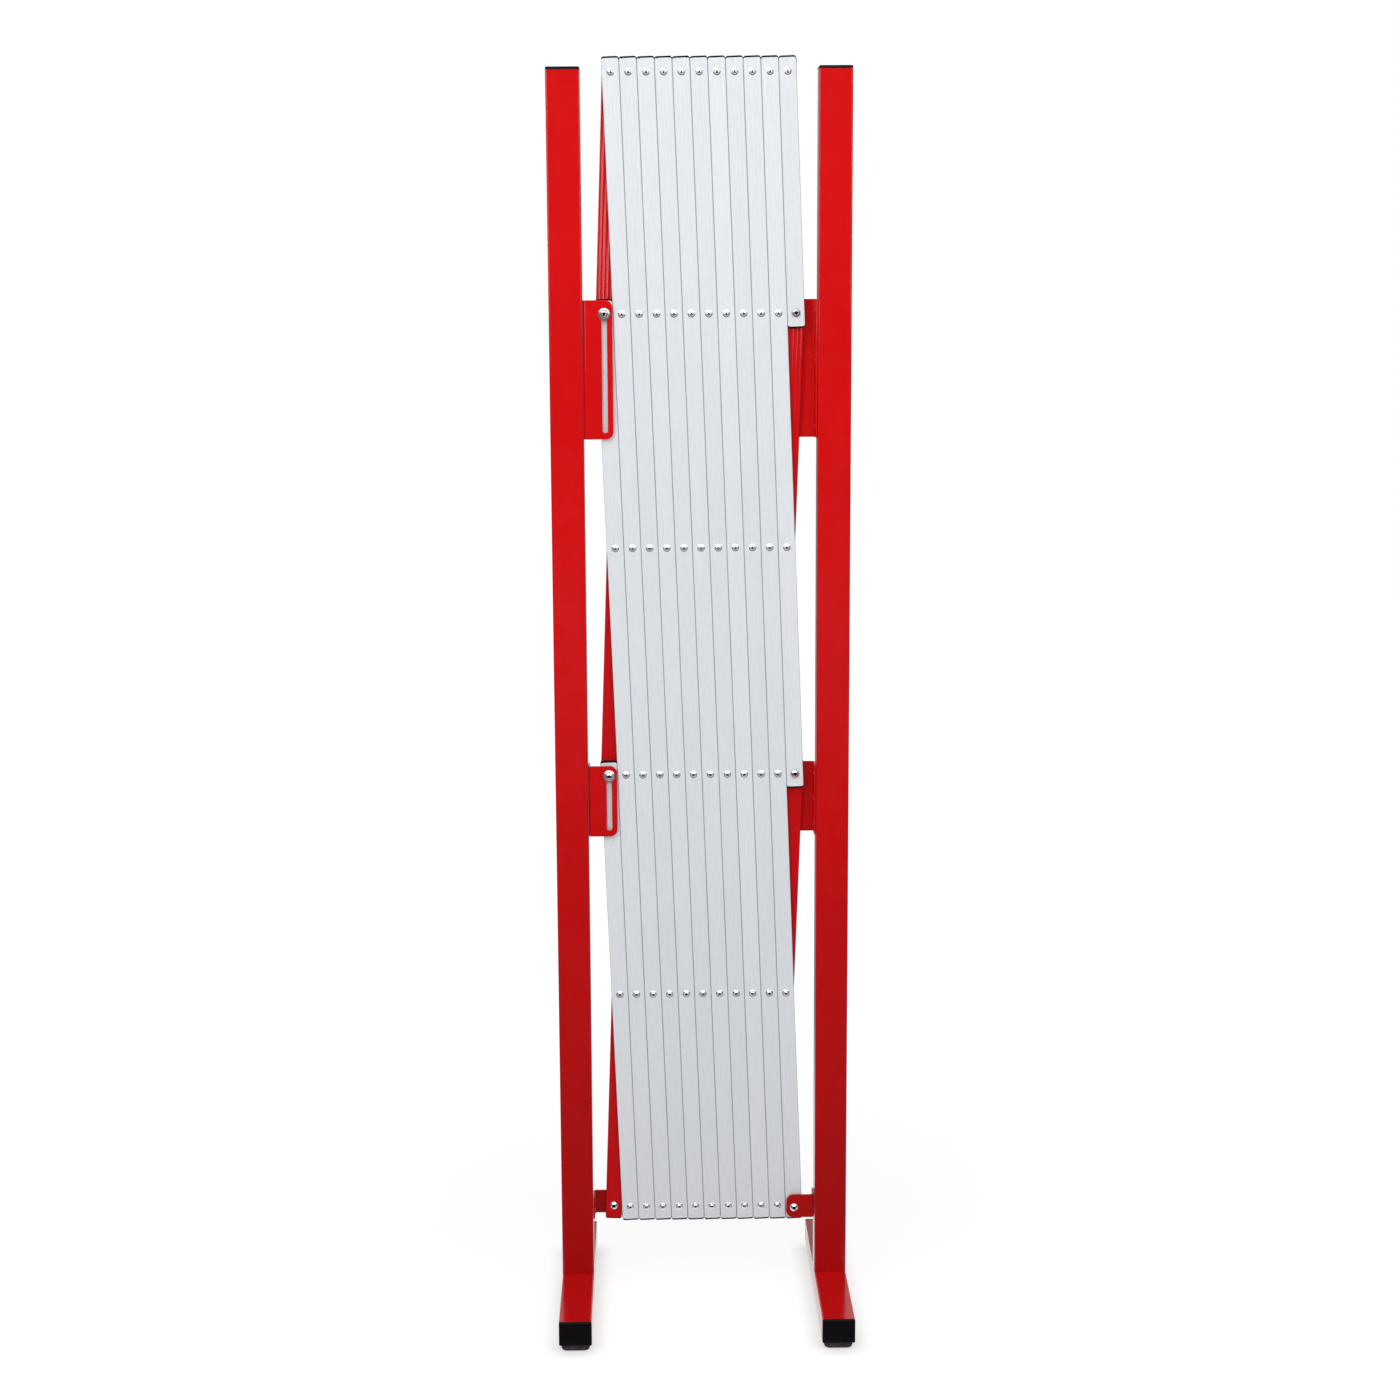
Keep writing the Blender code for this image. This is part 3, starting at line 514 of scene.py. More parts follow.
for side in ("left", "right"):
    body = f"{side}_stand"
    middle, size = middle_of(f"{side}_foot")
    mesh = pressed(
        f"{side}_foot",
        foot_red,
        Width=size.x,
        Depth=size.z,
        Corner=TUBE_CORNER,
        Length=size.y,
        Place=(middle.x, middle.y - size.y / 2, middle.z),
        Turn=(math.pi / 2, 0.0, 0.0),
    )
    add_piece(f"{side}_foot_tube", mesh, foot_red, body, "red_paint", f"{side}_foot")
    middle, size = middle_of(f"{side}_post")
    mesh = pressed(
        f"{side}_post",
        coat_red,
        Width=size.x,
        Depth=size.y,
        Corner=TUBE_CORNER,
        Length=size.z,
        Place=(middle.x, middle.y, middle.z + size.z / 2),
        Turn=(0.0, 0.0, 0.0),
    )
    add_piece(f"{side}_post_tube", mesh, coat_red, body, "red_paint", f"{side}_post")


# Caps: black moulded plugs that are pushed into the open ends of the feet and the tops of the posts.
# Each has a low flange with a round edge and a slightly crowned face.
CAP_BLACK = (0.0056, 0.0040, 0.0058, 1)
CAP_EDGE = 0.0016
CAP_CROWN = 0.0003
SEAT_GAP = 0.0003

cap_plastic, shader = finish("cap_plastic", CAP_BLACK, 0.45, specular=0.12)
point = object_point(cap_plastic)
mottled(cap_plastic, shader, noise(cap_plastic, point, 60), *shades(CAP_BLACK, 0.2))
rough_by(cap_plastic, shader, noise(cap_plastic, point, 400), 0.38, 0.55)
bumped(cap_plastic, shader, noise(cap_plastic, point, 2200), 0.00008)


def cap_skin(name, width, depth, height, place):
    """A cap's flange, which stands up from the tube's end at the origin."""
    # Each ring's distance in from the tube's outline, and its level
    rings = [(0.0, 0.0), (0.0, height - CAP_EDGE)]
    for step in range(1, 6):
        turn = math.radians(90 * step / 5)
        rings.append((CAP_EDGE * (1 - math.cos(turn)), height - CAP_EDGE + CAP_EDGE * math.sin(turn)))
    rings += [(0.0035, height + 0.00005), (0.0048, height - 0.00015), (0.0062, height + 0.00005)]
    rings += [(0.011, height + CAP_CROWN)]
    loops = []
    for inset, level in rings:
        outline = rounded_ring(width - 2 * inset, depth - 2 * inset, max(TUBE_CORNER - inset, 0.0008))
        loops.append([(x, y, level) for x, y in outline])
    return skin(name, loops, place)


for side in ("left", "right"):
    body = f"{side}_stand"
    middle, size = middle_of(f"{side}_post")
    top = middle.z + size.z / 2
    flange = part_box(f"{side}_post_cap")[1][2] - top - SEAT_GAP - CAP_CROWN
    place = Matrix.Translation((middle.x, middle.y, top + SEAT_GAP))
    mesh = cap_skin("post_cap", size.x, size.y, flange, place)
    add_piece(f"{side}_post_cap_flange", mesh, cap_plastic, body, "black_plastic", f"{side}_post_cap")
    middle, size = middle_of(f"{side}_foot")
    for end, way in (("front", -1), ("rear", 1)):
        turn = Matrix.Rotation(math.radians(-90 * way), 4, "X")
        place = Matrix.Translation((middle.x, middle.y + way * (size.y / 2 + SEAT_GAP), middle.z)) @ turn
        mesh = cap_skin("foot_cap", size.x, size.z, flange, place)
        node = f"{side}_{end}_cap"
        add_piece(f"{node}_flange", mesh, cap_plastic, body, "black_plastic", node)


# Foot bolts: a zinc plated hexagon head under the middle of each foot, with a pressed flange. The bolt
# runs up through the foot into the plate in the post.
ZINC = (0.62, 0.62, 0.63, 1)
FOOT_BOLT_HEAD = 0.0028
FOOT_BOLT_HEXAGON = 0.006
FOOT_BOLT_RADIUS = 0.004


def ring(radius, height, hexagon=0.0, points=48):
    """A ring about Z: round, or held inside a hexagon of a given half width."""
    made = []
    for n in range(points):
        turn = 2 * math.pi * n / points
        reach = radius
        if hexagon:
            from_flat = (turn + math.pi / 6) % (math.pi / 3) - math.pi / 6
            reach = min(radius, hexagon / math.cos(from_flat))
        made.append((reach * math.cos(turn), reach * math.sin(turn), height))
    return made


zinc_steel, shader = finish("zinc_plated_steel", ZINC, 0.3, metallic=1.0)
point = object_point(zinc_steel)
mottled(zinc_steel, shader, noise(zinc_steel, point, 350, 3), *shades(ZINC, 0.08))
rough_by(zinc_steel, shader, noise(zinc_steel, point, 700, 2), 0.22, 0.36)

for side in ("left", "right"):
    node = f"{side}_foot_bolt"
    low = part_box(node)[0]
    middle, size = middle_of(node)
    rings = [ring(0.0001, 0.0003), ring(0.0045, 0.0003), ring(0.0056, 0.0)]
    for radius, height in ((0.0064, 0.0), (0.0069, 0.0005), (0.0069, 0.0018)):
        rings.append(ring(radius, height, FOOT_BOLT_HEXAGON))
    rings += [ring(0.0068, 0.002), ring(0.0075, 0.0022), ring(0.0075, FOOT_BOLT_HEAD)]
    rings += [ring(FOOT_BOLT_RADIUS, FOOT_BOLT_HEAD), ring(FOOT_BOLT_RADIUS, size.z - 0.0006)]
    rings += [ring(0.0034, size.z)]
    place = Matrix.Translation((middle.x, middle.y, low[2]))
    add_piece(f"{node}_head", skin(node, rings, place), zinc_steel, f"{side}_stand", "zinc_steel", node)


# Slats: 20 by 6 mm aluminium extrusions with round edges and four shallow flutes down each broad face.
# The front layer is coated white and leans left, the back layer is coated red and leans right.
SLAT_WHITE = (0.825, 0.86, 0.885, 1)
SLAT_RED = (0.62, 0.0045, 0.0070, 1)
# Painted shade in the gaps between slats: the colours of each layer's long edges, and the width of the strip
PAINTED_GAP_SHADE_GREY = (0.18, 0.20, 0.24, 1)
PAINTED_GAP_SHADE_RED = (0.22, 0.003, 0.005, 1)
PAINTED_GAP_SHADE_WIDTH = 0.0004
SLATS_PER_LAYER = 13
MIDDLE_SLAT = 7
SLAT_WIDTH = 0.0207
SLAT_DEPTH = 0.006
SLAT_MIDDLE_Y = 0.0033
SLAT_EDGE = 0.0008
SLAT_STEP = 0.00034
SLAT_END_ROUND = 0.0030
FLUTES = 4
FLUTE_SPACING = 0.0046
FLUTE_DEPTH = 0.0003
PIVOT_SPACING = 0.2807
OVERHANG = 0.018
PLUG_FLANGE = 0.0022
PITCH = 0.0208
# The width of the CAD's slats, which their boxes depend on
CAD_WIDTH = 0.0203
LEAN = math.asin(PITCH / PIVOT_SPACING) / 2


def slat_facts(colour, number):
    """A slat's middle, its length, its lean about Y and how many pivots it has."""
    low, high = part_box(f"{colour}_slat_{number:02d}")
    lean = -LEAN if colour == "white" else LEAN
    length = (high[2] - low[2] - CAD_WIDTH * math.sin(LEAN)) / math.cos(LEAN)
    pivots = round((length - 2 * OVERHANG) / PIVOT_SPACING) + 1
    y = -SLAT_MIDDLE_Y if colour == "white" else SLAT_MIDDLE_Y
    return Vector(((low[0] + high[0]) / 2, y, (low[2] + high[2]) / 2)), length, lean, pivots


def slat_finish(name, colour, smooth, rough, low, high, gap_shade):
    """Paint on an extrusion: fine streaks down its length, painted shade along its long edges where the slats
    meet, and each slat a shade of its own.
    """
    middle, _, lean, _ = slat_facts("white" if "white" in name else "red", MIDDLE_SLAT)
    middle_share = (middle.x * math.cos(lean) - middle.z * math.sin(lean)) / PITCH
    material, shader = finish(name, colour, rough, specular=0.5)
    tree = material.node_tree
    across = object_point(material, stretch=(PITCH, 1, 1), turn=(0, lean, 0))
    step = add_node(tree, "ShaderNodeSeparateXYZ", {"Vector": across}).outputs["X"]
    # A whole number for each slat: the half puts the steps between slats, the hundred keeps it above zero
    own = math_node(tree, "FLOOR", math_node(tree, "ADD", step, 100.5 - middle_share))
    own = add_node(tree, "ShaderNodeTexWhiteNoise", {"W": own}, noise_dimensions="1D").outputs["Value"]
    streaks = noise(material, object_point(material, stretch=(1, 1, 60), turn=(0, lean, 0)), 260, 2, 0.5)
    clouds = noise(material, object_point(material), 14, 2)
    amount = math_node(tree, "MULTIPLY_ADD", own, 0.3, math_node(tree, "MULTIPLY_ADD", clouds, 0.3, 0.2))
    # The long edges take painted shade for the gaps between slats
    mottled(material, shader, amount, low, high, recess=gap_shade)
    rough_by(material, shader, streaks, smooth, rough)
    bumped(material, shader, streaks, 0.000002)
    return material


slat_white = slat_finish(
    "white_slat_coat", SLAT_WHITE, 0.30, 0.32, (0.80, 0.84, 0.87, 1), (0.85, 0.875, 0.895, 1), PAINTED_GAP_SHADE_GREY
)
slat_red = slat_finish("red_slat_coat", SLAT_RED, 0.08, 0.13, *shades(SLAT_RED, 0.06), PAINTED_GAP_SHADE_RED)


slats = [(colour, number) for colour in ("white", "red") for number in range(1, SLATS_PER_LAYER + 1)]
for colour, number in slats:
    middle, length, lean, _ = slat_facts(colour, number)
    half = length / 2 - PLUG_FLANGE
    material = slat_white if colour == "white" else slat_red
    name = f"{colour}_slat_{number:02d}"
    mesh = pressed(
        name,
        material,
        Width=SLAT_WIDTH,
        Depth=SLAT_DEPTH,
        Corner=SLAT_EDGE,
        Step=SLAT_STEP,
        Flute_Spacing=FLUTE_SPACING,
        Flute_Depth=FLUTE_DEPTH,
        Flutes_Across=FLUTES * FLUTE_SPACING,
        Length=2 * half,
        End_Round=SLAT_END_ROUND,
        Seam=PAINTED_GAP_SHADE_WIDTH,
        Place=tuple(middle + half * Vector((math.sin(lean), 0, math.cos(lean)))),
        Turn=(0.0, lean, 0.0),
    )
    add_piece(f"{name}_extrusion", mesh, material, f"{colour}_{number:02d}", f"{colour}_slat_paint", name)


# End plugs: a dark grey moulded plug closes each end of each hollow slat. Its thin flange follows the
# slat's rounded end and shows as a dark line.
PLUG_GREY = (0.006, 0.006, 0.007, 1)
PLUG_STEPS = 12

plug_plastic, shader = finish("plug_plastic", PLUG_GREY, 0.5, specular=0.12)
point = object_point(plug_plastic)
mottled(plug_plastic, shader, noise(plug_plastic, point, 200), *shades(PLUG_GREY, 0.15))
bumped(plug_plastic, shader, noise(plug_plastic, point, 2500), 0.00005)

# The fixing tree puts a copy of one fixing at each point of a mesh, turned to its place, and gives
# each a turn of its own about the axis it is driven along where a spread is asked for.
fixing_sockets = [("Fixing", "Object"), ("Turn", "Vector"), ("Spread", "Float"), ("Seed", "Int")]
fixing_sockets += [("Material", "Material")]
fixing_tree, given, result = new_tree("fixings_at_points", fixing_sockets)
fixing = add_node(fixing_tree, "GeometryNodeObjectInfo", {"Object": given["Fixing"], "As Instance": True})
inputs = {2: 0.0, 3: given["Spread"], "Seed": given["Seed"]}
own_turn = add_node(fixing_tree, "FunctionNodeRandomValue", inputs, data_type="FLOAT").outputs[1]
spin = add_node(fixing_tree, "ShaderNodeCombineXYZ", {"Z": own_turn}).outputs["Vector"]
driven = add_node(fixing_tree, "FunctionNodeEulerToRotation", {"Euler": given["Turn"]}).outputs["Rotation"]
spin = add_node(fixing_tree, "FunctionNodeEulerToRotation", {"Euler": spin}).outputs["Rotation"]
turned = add_node(
    fixing_tree, "FunctionNodeRotateRotation", {"Rotation": driven, "Rotate By": spin}, rotation_space="LOCAL"
).outputs["Rotation"]
copies = add_node(
    fixing_tree,
    "GeometryNodeInstanceOnPoints",
    {"Points": given["Geometry"], "Instance": fixing.outputs["Geometry"], "Rotation": turned},
).outputs["Instances"]
real = add_node(fixing_tree, "GeometryNodeRealizeInstances", {"Geometry": copies}).outputs["Geometry"]
real = add_node(
    fixing_tree, "GeometryNodeSetMaterial", {"Geometry": real, "Material": given["Material"]}
).outputs["Geometry"]
fixing_tree.links.new(real, result.inputs["Geometry"])


def fixed_at(name, mesh, places, turn, material, spread=0.0, seed=0):
    """One mesh with a copy of a fixing at each place."""
    fixing = bpy.data.objects.new(name, mesh)
    bpy.context.scene.collection.objects.link(fixing)
    start = bpy.data.meshes.new(name)
    start.from_pydata([tuple(place) for place in places], [], [])
    values = {"Fixing": fixing, "Turn": turn, "Spread": spread, "Seed": seed, "Material": material}
    made = grown(name, start, fixing_tree, values)
    bpy.data.objects.remove(fixing)
    return made


def plug_skin():
    """A plug's flange, which stands up from the rounded end of the slat at the origin."""
    rings = []
    profile = ((0.0002, -0.0001), (0.0002, 0.0016), (0.0004, 0.0019), (0.0009, 0.0021), (0.0018, PLUG_FLANGE))
    for inset, level in profile:
        x_half = SLAT_WIDTH / 2 - inset
        y_half = SLAT_DEPTH / 2 - inset
        loop = []
        for row, way in ((y_half, 1), (-y_half, -1)):
            for step in range(-PLUG_STEPS, PLUG_STEPS + 1):
                x = -way * x_half * math.sin(math.radians(90 * step / PLUG_STEPS))
                past = max(abs(x) - (SLAT_WIDTH / 2 - SLAT_END_ROUND), 0)
                drop = SLAT_END_ROUND - math.sqrt(SLAT_END_ROUND**2 - past**2)
                loop.append((x, row, level - drop))
        rings.append(loop)
    return skin("end_plug", rings)


for colour, number in slats:
    middle, length, lean, _ = slat_facts(colour, number)
    half = length / 2 - PLUG_FLANGE
    along = Vector((math.sin(lean), 0, math.cos(lean)))
    name = f"{colour}_slat_{number:02d}_plugs"
    ends = []
    for way, turn in ((1, (0.0, lean, 0.0)), (-1, (0.0, lean + math.pi, 0.0))):
        ends.append(fixed_at(name, plug_skin(), [middle + way * half * along], turn, plug_plastic))
    shape = bmesh.new()
    for mesh in ends:
        shape.from_mesh(mesh)
    joined = bpy.data.meshes.new(name)
    shape.to_mesh(joined)
    shape.free()
    add_piece(name, joined, plug_plastic, f"{colour}_{number:02d}", "black_plastic")


# Rivets: domed aluminium blind rivets, set from the front at each crossing that has no bolt. The steel
# stem breaks off inside the hole in the head, near-black as painted shade in the hole, and the rivet
# bulges out behind the red slat.
RIVET_METAL = (0.93, 0.94, 0.95, 1)
STEM_STEEL_AND_SHADE = (0.035, 0.035, 0.04, 1)
RIVET_DEPTH = 0.0063
RIVET_RIM = 0.0046
RIVET_HOLE = 0.0011
RIVET_POINTS = 24
STEM_POINTS = 12
NEAR_BOLT = 0.003

rivet_metal, shader = finish("rivet_aluminium", RIVET_METAL, 0.22, metallic=0.85)
point = object_point(rivet_metal)
mottled(rivet_metal, shader, noise(rivet_metal, point, 600, 3), *shades(RIVET_METAL, 0.04))
rough_by(rivet_metal, shader, noise(rivet_metal, point, 900, 2), 0.16, 0.26)

# The stem is real steel; its near-black colour is painted shade in the hole
stem_steel, shader = finish("broken_stem_steel", STEM_STEEL_AND_SHADE, 0.5, metallic=1.0)
point = object_point(stem_steel)
mottled(stem_steel, shader, noise(stem_steel, point, 1500, 3), *shades(STEM_STEEL_AND_SHADE, 0.3))
bumped(stem_steel, shader, noise(stem_steel, point, 2500, 3), 0.0001)


def rivet_skin():
    """A set rivet along Z, from the bulge behind, at the lower end, to the stepped dome in front."""
    back = [(0.0001, -0.0025), (0.0009, -0.0024), (0.0014, -0.0021), (0.0016, -0.0017), (0.0027, -0.0016)]
    back += [(0.0034, -0.0011), (0.0035, -0.0006), (0.0031, -0.0001), (0.0024, 0.0)]
    head = [(0.0024, 0.0), (RIVET_RIM - 0.0001, 0.0), (RIVET_RIM, 0.0001), (RIVET_RIM - 0.0001, 0.0002)]
    head += [(0.0043, 0.00032), (0.0039, 0.00045), (0.0036, 0.00055), (0.0034, 0.00065), (0.0031, 0.0010)]
    head += [(0.0027, 0.0017), (0.0024, 0.0020), (0.002, 0.00218), (0.0016, 0.0023)]
    head += [(RIVET_HOLE + 0.0001, 0.00234)]
    lip = head[-1][1]
    head += [(RIVET_HOLE, lip - 0.0001), (RIVET_HOLE, lip - 0.0014), (0.0001, lip - 0.0014)]
    rings = [ring(radius, height - RIVET_DEPTH - 0.0004, points=RIVET_POINTS) for radius, height in back]
    rings += [ring(radius, height + RIVET_DEPTH, points=RIVET_POINTS) for radius, height in head]
    return skin("rivet", rings)


def stem_skin():
    """The broken end of a rivet's stem, which stands in the hole below its lip."""
    ends = [(0.0001, 0.0010), (0.0009, 0.0010), (0.00095, 0.0011), (0.00095, 0.0014), (0.0008, 0.0016)]
    ends += [(0.0001, 0.0017)]
    return skin("stem", [ring(radius, height + RIVET_DEPTH, points=STEM_POINTS) for radius, height in ends])


bolt_places = {}
for side in ("left", "right"):
    for where in ("upper", "middle", "lower"):
        bolt_places[side, where] = middle_of(f"{side}_{where}_bolt")[0]

for number in range(1, SLATS_PER_LAYER + 1):
    middle, length, lean, pivots = slat_facts("white", number)
    along = Vector((math.sin(lean), 0, math.cos(lean)))
    places = []
    for pivot in range(pivots):
        place = middle + (length / 2 - OVERHANG - pivot * PIVOT_SPACING) * along
        place.y = 0.0
        gaps = [math.hypot(bolt.x - place.x, bolt.z - place.z) for bolt in bolt_places.values()]
        if min(gaps) >= NEAR_BOLT:
            places.append(place)
    kinds = (("rivets", rivet_skin(), rivet_metal), ("rivet_stems", stem_skin(), stem_steel))
    for kind, made, metal in kinds:
        name = f"white_slat_{number:02d}_{kind}"
        mesh = fixed_at(name, made, places, (math.pi / 2, 0.0, 0.0), metal, 2 * math.pi, number)
        add_piece(name, mesh, metal, f"white_{number:02d}", "zinc_steel")


# Brackets: 2 mm steel plate, cut with round corners and a slot or a hole, bent along the post's inner
# edge. One leg is screwed to the post, and the tab lies beside the lattice. The coat covers the screws.
PLATE = 0.002
BEND_RADIUS = 0.0015
LEG_DEPTH = 0.025
TAB_FACE = 0.0123
TAB_PAST_BOLT = 0.0098
TAB_CORNER = 0.009
SLOT_HALF_WIDTH = 0.0032
SLOT_TO_TAB_END = 0.0107
EDGE_ROUND = 0.0005
LEG_CORNER = 0.002
BEND_STEPS = 8
TAB_CORNER_STEPS = 10
SLOT_END_STEPS = 24
SCREW_POINTS = 24
POST_TO_BOLT = 0.026
# Tab above the bolt, screws from the ends, and the share of the way down to a third screw
BRACKET_ROWS = (
    ("upper", 0.0165, 0.0135, 0.44),
    ("middle", 0.0125, 0.0135, 0.5),
    ("lower", 0.0165, 0.0075, 0),
)
# Tab above and below the bolt, slot length, and heights of the screws, from the bolt
BRACKETS = {}
for where, above, to_end, share in BRACKET_ROWS:
    low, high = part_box(f"left_{where}_bracket")
    below = high[2] - low[2] - above
    slot = below - SLOT_TO_TAB_END if share else 0.0
    screws = [above - to_end, to_end - below]
    if share:
        screws.append(above - share * (above + below))
    BRACKETS[where] = (above, below, slot, screws)


def flat_pattern(above, below, slot):
    """The plate as it is cut, flat, X from the leg's free edge to the tab's, Z its thickness."""
    bend = BEND_RADIUS + PLATE
    straight_leg = LEG_DEPTH - bend
    arc = math.pi / 2 * (BEND_RADIUS + PLATE / 2)
    reach = POST_TO_BOLT - SEAT_GAP
    far = straight_leg + arc + reach + TAB_PAST_BOLT - bend
    bolt = far - TAB_PAST_BOLT
    outline = []
    for cx, cy, radius, start in (
        (far - TAB_CORNER, above - TAB_CORNER, TAB_CORNER, 0),
        (LEG_CORNER, above - LEG_CORNER, LEG_CORNER, 90),
        (LEG_CORNER, LEG_CORNER - below, LEG_CORNER, 180),
        (far - TAB_CORNER, TAB_CORNER - below, TAB_CORNER, 270),
    ):
        for step in range(TAB_CORNER_STEPS + 1):
            turn = math.radians(start + 90 * step / TAB_CORNER_STEPS)
            outline.append((cx + radius * math.cos(turn), cy + radius * math.sin(turn)))
    hole = []
    for step in range(SLOT_END_STEPS + 1):
        turn = math.radians(180 * step / SLOT_END_STEPS)
        hole.append((bolt + SLOT_HALF_WIDTH * math.cos(turn), SLOT_HALF_WIDTH * math.sin(turn)))
    # A round hole leaves out the two points that its halves share
    for step in range(SLOT_END_STEPS + 1) if slot else range(1, SLOT_END_STEPS):
        turn = math.radians(180 + 180 * step / SLOT_END_STEPS)
        hole.append((bolt + SLOT_HALF_WIDTH * math.cos(turn), SLOT_HALF_WIDTH * math.sin(turn) - slot))
    curve = bpy.data.curves.new("flat_pattern", "CURVE")
    curve.dimensions = "2D"
    curve.fill_mode = "BOTH"
    curve.extrude = PLATE / 2 - EDGE_ROUND
    curve.bevel_depth = EDGE_ROUND
    curve.bevel_resolution = 3
    curve.offset = -EDGE_ROUND
    for points in (outline, hole):
        spline = curve.splines.new("POLY")
        spline.points.add(len(points) - 1)
        for point, (x, y) in zip(spline.points, points):
            point.co = (x, y, 0, 1)
        spline.use_cyclic_u = True
    helper = bpy.data.objects.new("flat_pattern", curve)
    bpy.context.scene.collection.objects.link(helper)
    graph = bpy.context.evaluated_depsgraph_get()
    mesh = bpy.data.meshes.new_from_object(helper.evaluated_get(graph))
    bpy.data.objects.remove(helper)
    bpy.data.curves.remove(curve)
    return mesh, straight_leg, arc, bend, reach


def bent_plate(side, face, above, below, slot, place):
    """The bracket folded up about its bolt. The side is -1 left, +1 right; the face -1 front, +1 rear."""
    mesh, straight_leg, arc, bend, reach = flat_pattern(above, below, slot)
    shape = bmesh.new()
    shape.from_mesh(mesh)
    bmesh.ops.remove_doubles(shape, verts=shape.verts, dist=MERGE_DISTANCE)
    for step in range(BEND_STEPS + 1):
        everything = shape.verts[:] + shape.edges[:] + shape.faces[:]
        line = (straight_leg + arc * step / BEND_STEPS, 0, 0)
        bmesh.ops.bisect_plane(shape, geom=everything, plane_co=line, plane_no=(1, 0, 0), dist=0.000001)
    for vertex in shape.verts:
        run, height, deep = vertex.co.x, vertex.co.y, vertex.co.z + PLATE / 2
        if run < straight_leg:
            along, inward = deep, LEG_DEPTH - run
        elif run < straight_leg + arc:
            turn = (run - straight_leg) / arc * math.pi / 2
            along, inward = bend - (bend - deep) * math.cos(turn), bend - (bend - deep) * math.sin(turn)
        else:
            along, inward = bend + run - straight_leg - arc, deep
        vertex.co = (side * (reach - along), face * (TAB_FACE - inward), height)
    shape.transform(Matrix.Translation(place))
    bmesh.ops.recalc_face_normals(shape, faces=shape.faces)
    shape.to_mesh(mesh)
    shape.free()
    return mesh


def screw_skin():
    """A pan head with a cross recess, which stands up from the plate at the origin."""
    profile = ((0.0036, -0.0002), (0.0036, 0.0003), (0.0034, 0.0008), (0.0029, 0.0012), (0.0022, 0.0014))
    rings = [ring(radius, height, points=SCREW_POINTS) for radius, height in profile]
    for reach, level in ((0.0019, 0.00142), (0.0018, 0.0011), (0.0011, 0.0002)):
        cross = []
        for n in range(SCREW_POINTS):
            turn = 2 * math.pi * n / SCREW_POINTS
            lobe = reach if n % 6 in (0, 1, 5) else reach * 0.34
            cross.append((lobe * math.cos(turn), lobe * math.sin(turn), level))
        rings.append(cross)
    return skin("screw", rings)


# The slotted tabs are in front on the left and behind on the right, and the lower ones the other way.
for side, sign in (("left", -1), ("right", 1)):
    for where, (above, below, slot, screws) in BRACKETS.items():
        face = sign if slot else -sign
        node = f"{side}_{where}_bracket"
        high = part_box(node)[1]
        bolt = bolt_places[side, where]
        place = Vector((bolt.x, 0, high[2] - above))
        mesh = bent_plate(sign, face, above, below, slot, place)
        add_piece(f"{node}_plate", mesh, coat_red, f"{side}_stand", "red_paint", node)
        leg_x = place.x + sign * (POST_TO_BOLT - SEAT_GAP - PLATE)
        leg_y = face * (TAB_FACE - (PLATE + LEG_DEPTH) / 2)
        places = [(leg_x, leg_y, place.z + height) for height in screws]
        name = f"{side}_{where}_screws"
        turn = (0.0, -sign * math.pi / 2, 0.0)
        mesh = fixed_at(name, screw_skin(), places, turn, coat_red, 2 * math.pi, len(places) + sign)
        add_piece(name, mesh, coat_red, f"{side}_stand", "red_paint")


# Bolts: polished zinc plated button heads with a hexagon socket, with a flange under those that ride in
# a slot. The slotted right brackets have round sleeve nuts in front, the others hexagon nuts behind.
POLISHED = (0.90, 0.89, 0.91, 1)
# Painted shade in the hexagon sockets and round the foot of the sleeve nuts
SOCKET_PAINTED_SHADE = (0.02, 0.02, 0.022, 1)
BOLT_FLANGE = 0.001
BUTTON_RADIUS = 0.0054
BUTTON_HEIGHT = 0.0032
SOCKET_HALF_WIDTH = 0.002
SHANK_RADIUS = 0.003
NUT_HEXAGON = 0.005
NUT_SEAT = 0.0066
# The slats that the bolts in the slots ride on
SLOT_BOLT_BODIES = {
    ("left", "upper"): "white_02",
    ("left", "middle"): "white_01",
    ("right", "upper"): "red_12",
    ("right", "middle"): "red_13",
}

bolt_steel, shader = finish("polished_zinc_plate", POLISHED, 0.16, metallic=0.88)
point = object_point(bolt_steel)
mottled(bolt_steel, shader, noise(bolt_steel, point, 500, 3), *shades(POLISHED, 0.06), recess=SOCKET_PAINTED_SHADE)
rough_by(bolt_steel, shader, noise(bolt_steel, point, 800, 2), 0.12, 0.2)


def button_rings(flanged, socket):
    """The rings of a button head, from its seat outwards to the floor of its socket."""
    base = BOLT_FLANGE if flanged else 0.0
    top = base + BUTTON_HEIGHT
    # Past the corners of the socket's hexagon
    past = socket * 1.2
    rings = []
    if flanged:
        rings += [ring(0.0072, 0.0), ring(0.0072, 0.0003), ring(0.0070, 0.00045), ring(0.0064, 0.0007)]
        rings += [ring(0.0056, BOLT_FLANGE)]
    else:
        rings += [ring(0.0052, 0.0)]
    for step in range(10):
        turn = math.radians(60 * step / 9)
        rings.append(ring(BUTTON_RADIUS * math.cos(turn) ** 0.9, base + 0.0003 + 0.0029 * math.sin(turn)))
    rings += [ring(past, top), ring(past, base + 0.0031, socket), ring(past, base + 0.0012, socket)]
    rings += [ring(0.0001, base + 0.0007, socket)]
    return rings


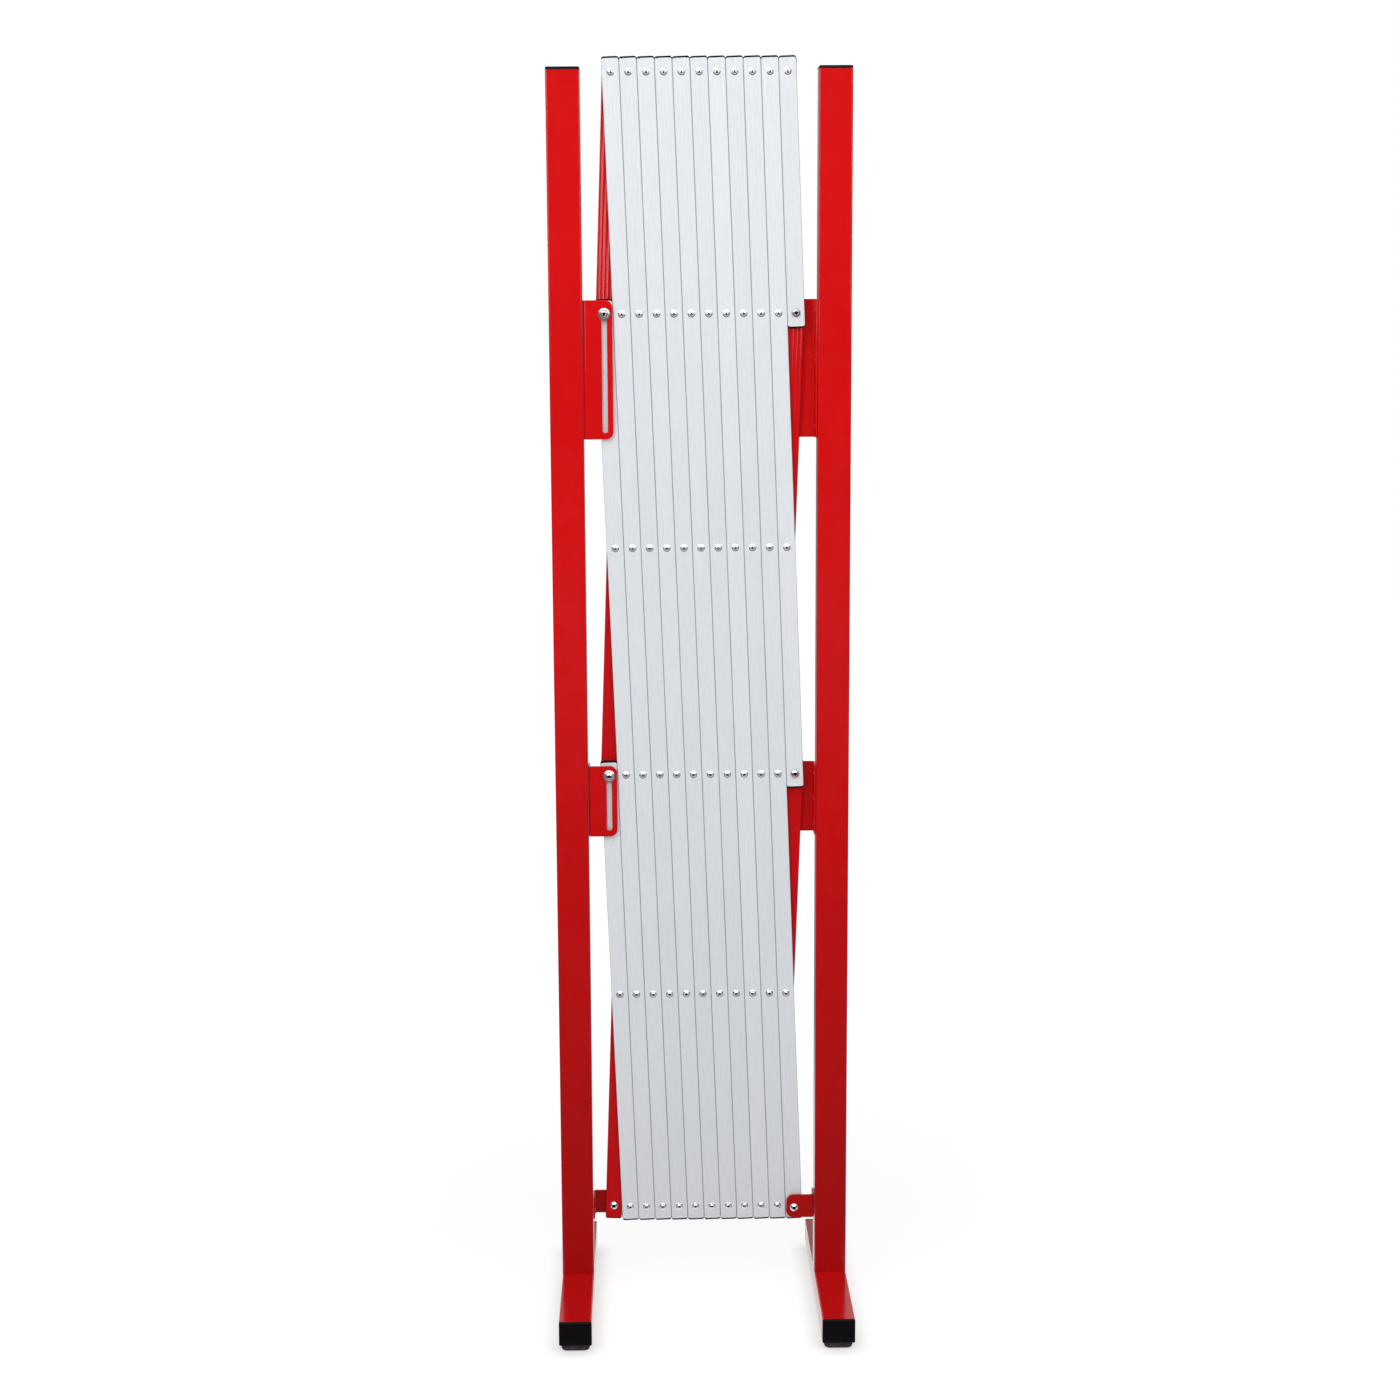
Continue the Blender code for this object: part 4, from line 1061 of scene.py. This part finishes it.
def bolt_skin(grip, flanged, sleeve):
    """A bolt along Z with its nut: the head above the seat at the origin, the nut below the grip."""
    if sleeve:
        nut = reversed(button_rings(False, SOCKET_HALF_WIDTH))
        nut = [[(x, y, -grip - z) for x, y, z in loop] for loop in nut]
    else:
        nut = [ring(0.0001, -0.0042), ring(0.0022, -0.0042), ring(0.0028, -0.0038), ring(0.0028, -0.0034)]
        nut += [ring(0.0043, -0.0034), ring(0.0051, -0.0032, NUT_HEXAGON), ring(0.0058, -0.0028, NUT_HEXAGON)]
        nut += [ring(0.0058, -0.0006, NUT_HEXAGON), ring(0.0052, 0.0, NUT_HEXAGON)]
        nut = [[(x, y, z - grip) for x, y, z in loop] for loop in nut]
    shank = [ring(SHANK_RADIUS, -grip), ring(SHANK_RADIUS, 0.0)]
    head = button_rings(flanged, SOCKET_HALF_WIDTH)
    # The last three rings of a button head lie in its socket, which takes painted shade
    recess = [0.0] * (len(nut) + len(shank) + len(head) - 3) + [1.0] * 3
    # A sleeve nut's socket takes painted shade, and the foot of its dome painted shade where it sits on the
    # slat
    if sleeve:
        recess[:3] = [1.0] * 3
        recess[len(nut) - 4 : len(nut)] = [0.5, 0.8, 0.9, 0.9]
    return skin("bolt", nut + shank + head, recess=recess)


for (side, where), middle in bolt_places.items():
    sign = -1 if side == "left" else 1
    slot = BRACKETS[where][2]
    face = sign if slot else -sign
    node = f"{side}_{where}_bolt"
    bolt_body = SLOT_BOLT_BODIES[side, where] if slot else f"{side}_stand"
    if slot and face > 0:
        seat, way = TAB_FACE + SEAT_GAP, 1
        grip = seat + NUT_SEAT
    elif slot:
        seat, way = -TAB_FACE - SEAT_GAP, -1
        grip = NUT_SEAT - seat
    elif face < 0:
        seat, way = -TAB_FACE - SEAT_GAP, -1
        grip = -seat
    else:
        seat, way = 0.0, -1
        grip = TAB_FACE + SEAT_GAP
    turn = (-way * math.pi / 2, 0.0, 0.0)
    place = (middle.x, seat, middle.z)
    name = f"{node}_and_nut"
    mesh = fixed_at(name, bolt_skin(grip, bool(slot), bool(slot) and face > 0), [place], turn, bolt_steel)
    add_piece(name, mesh, bolt_steel, bolt_body, "zinc_steel", node)

# Spacers: short black plastic tubes round the bolts, which keep the tabs clear of the slats.
for side in ("left", "right"):
    for where in ("upper", "middle", "lower"):
        node = f"{side}_{where}_spacer"
        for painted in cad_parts[node].material_slots:
            painted.material = cap_plastic
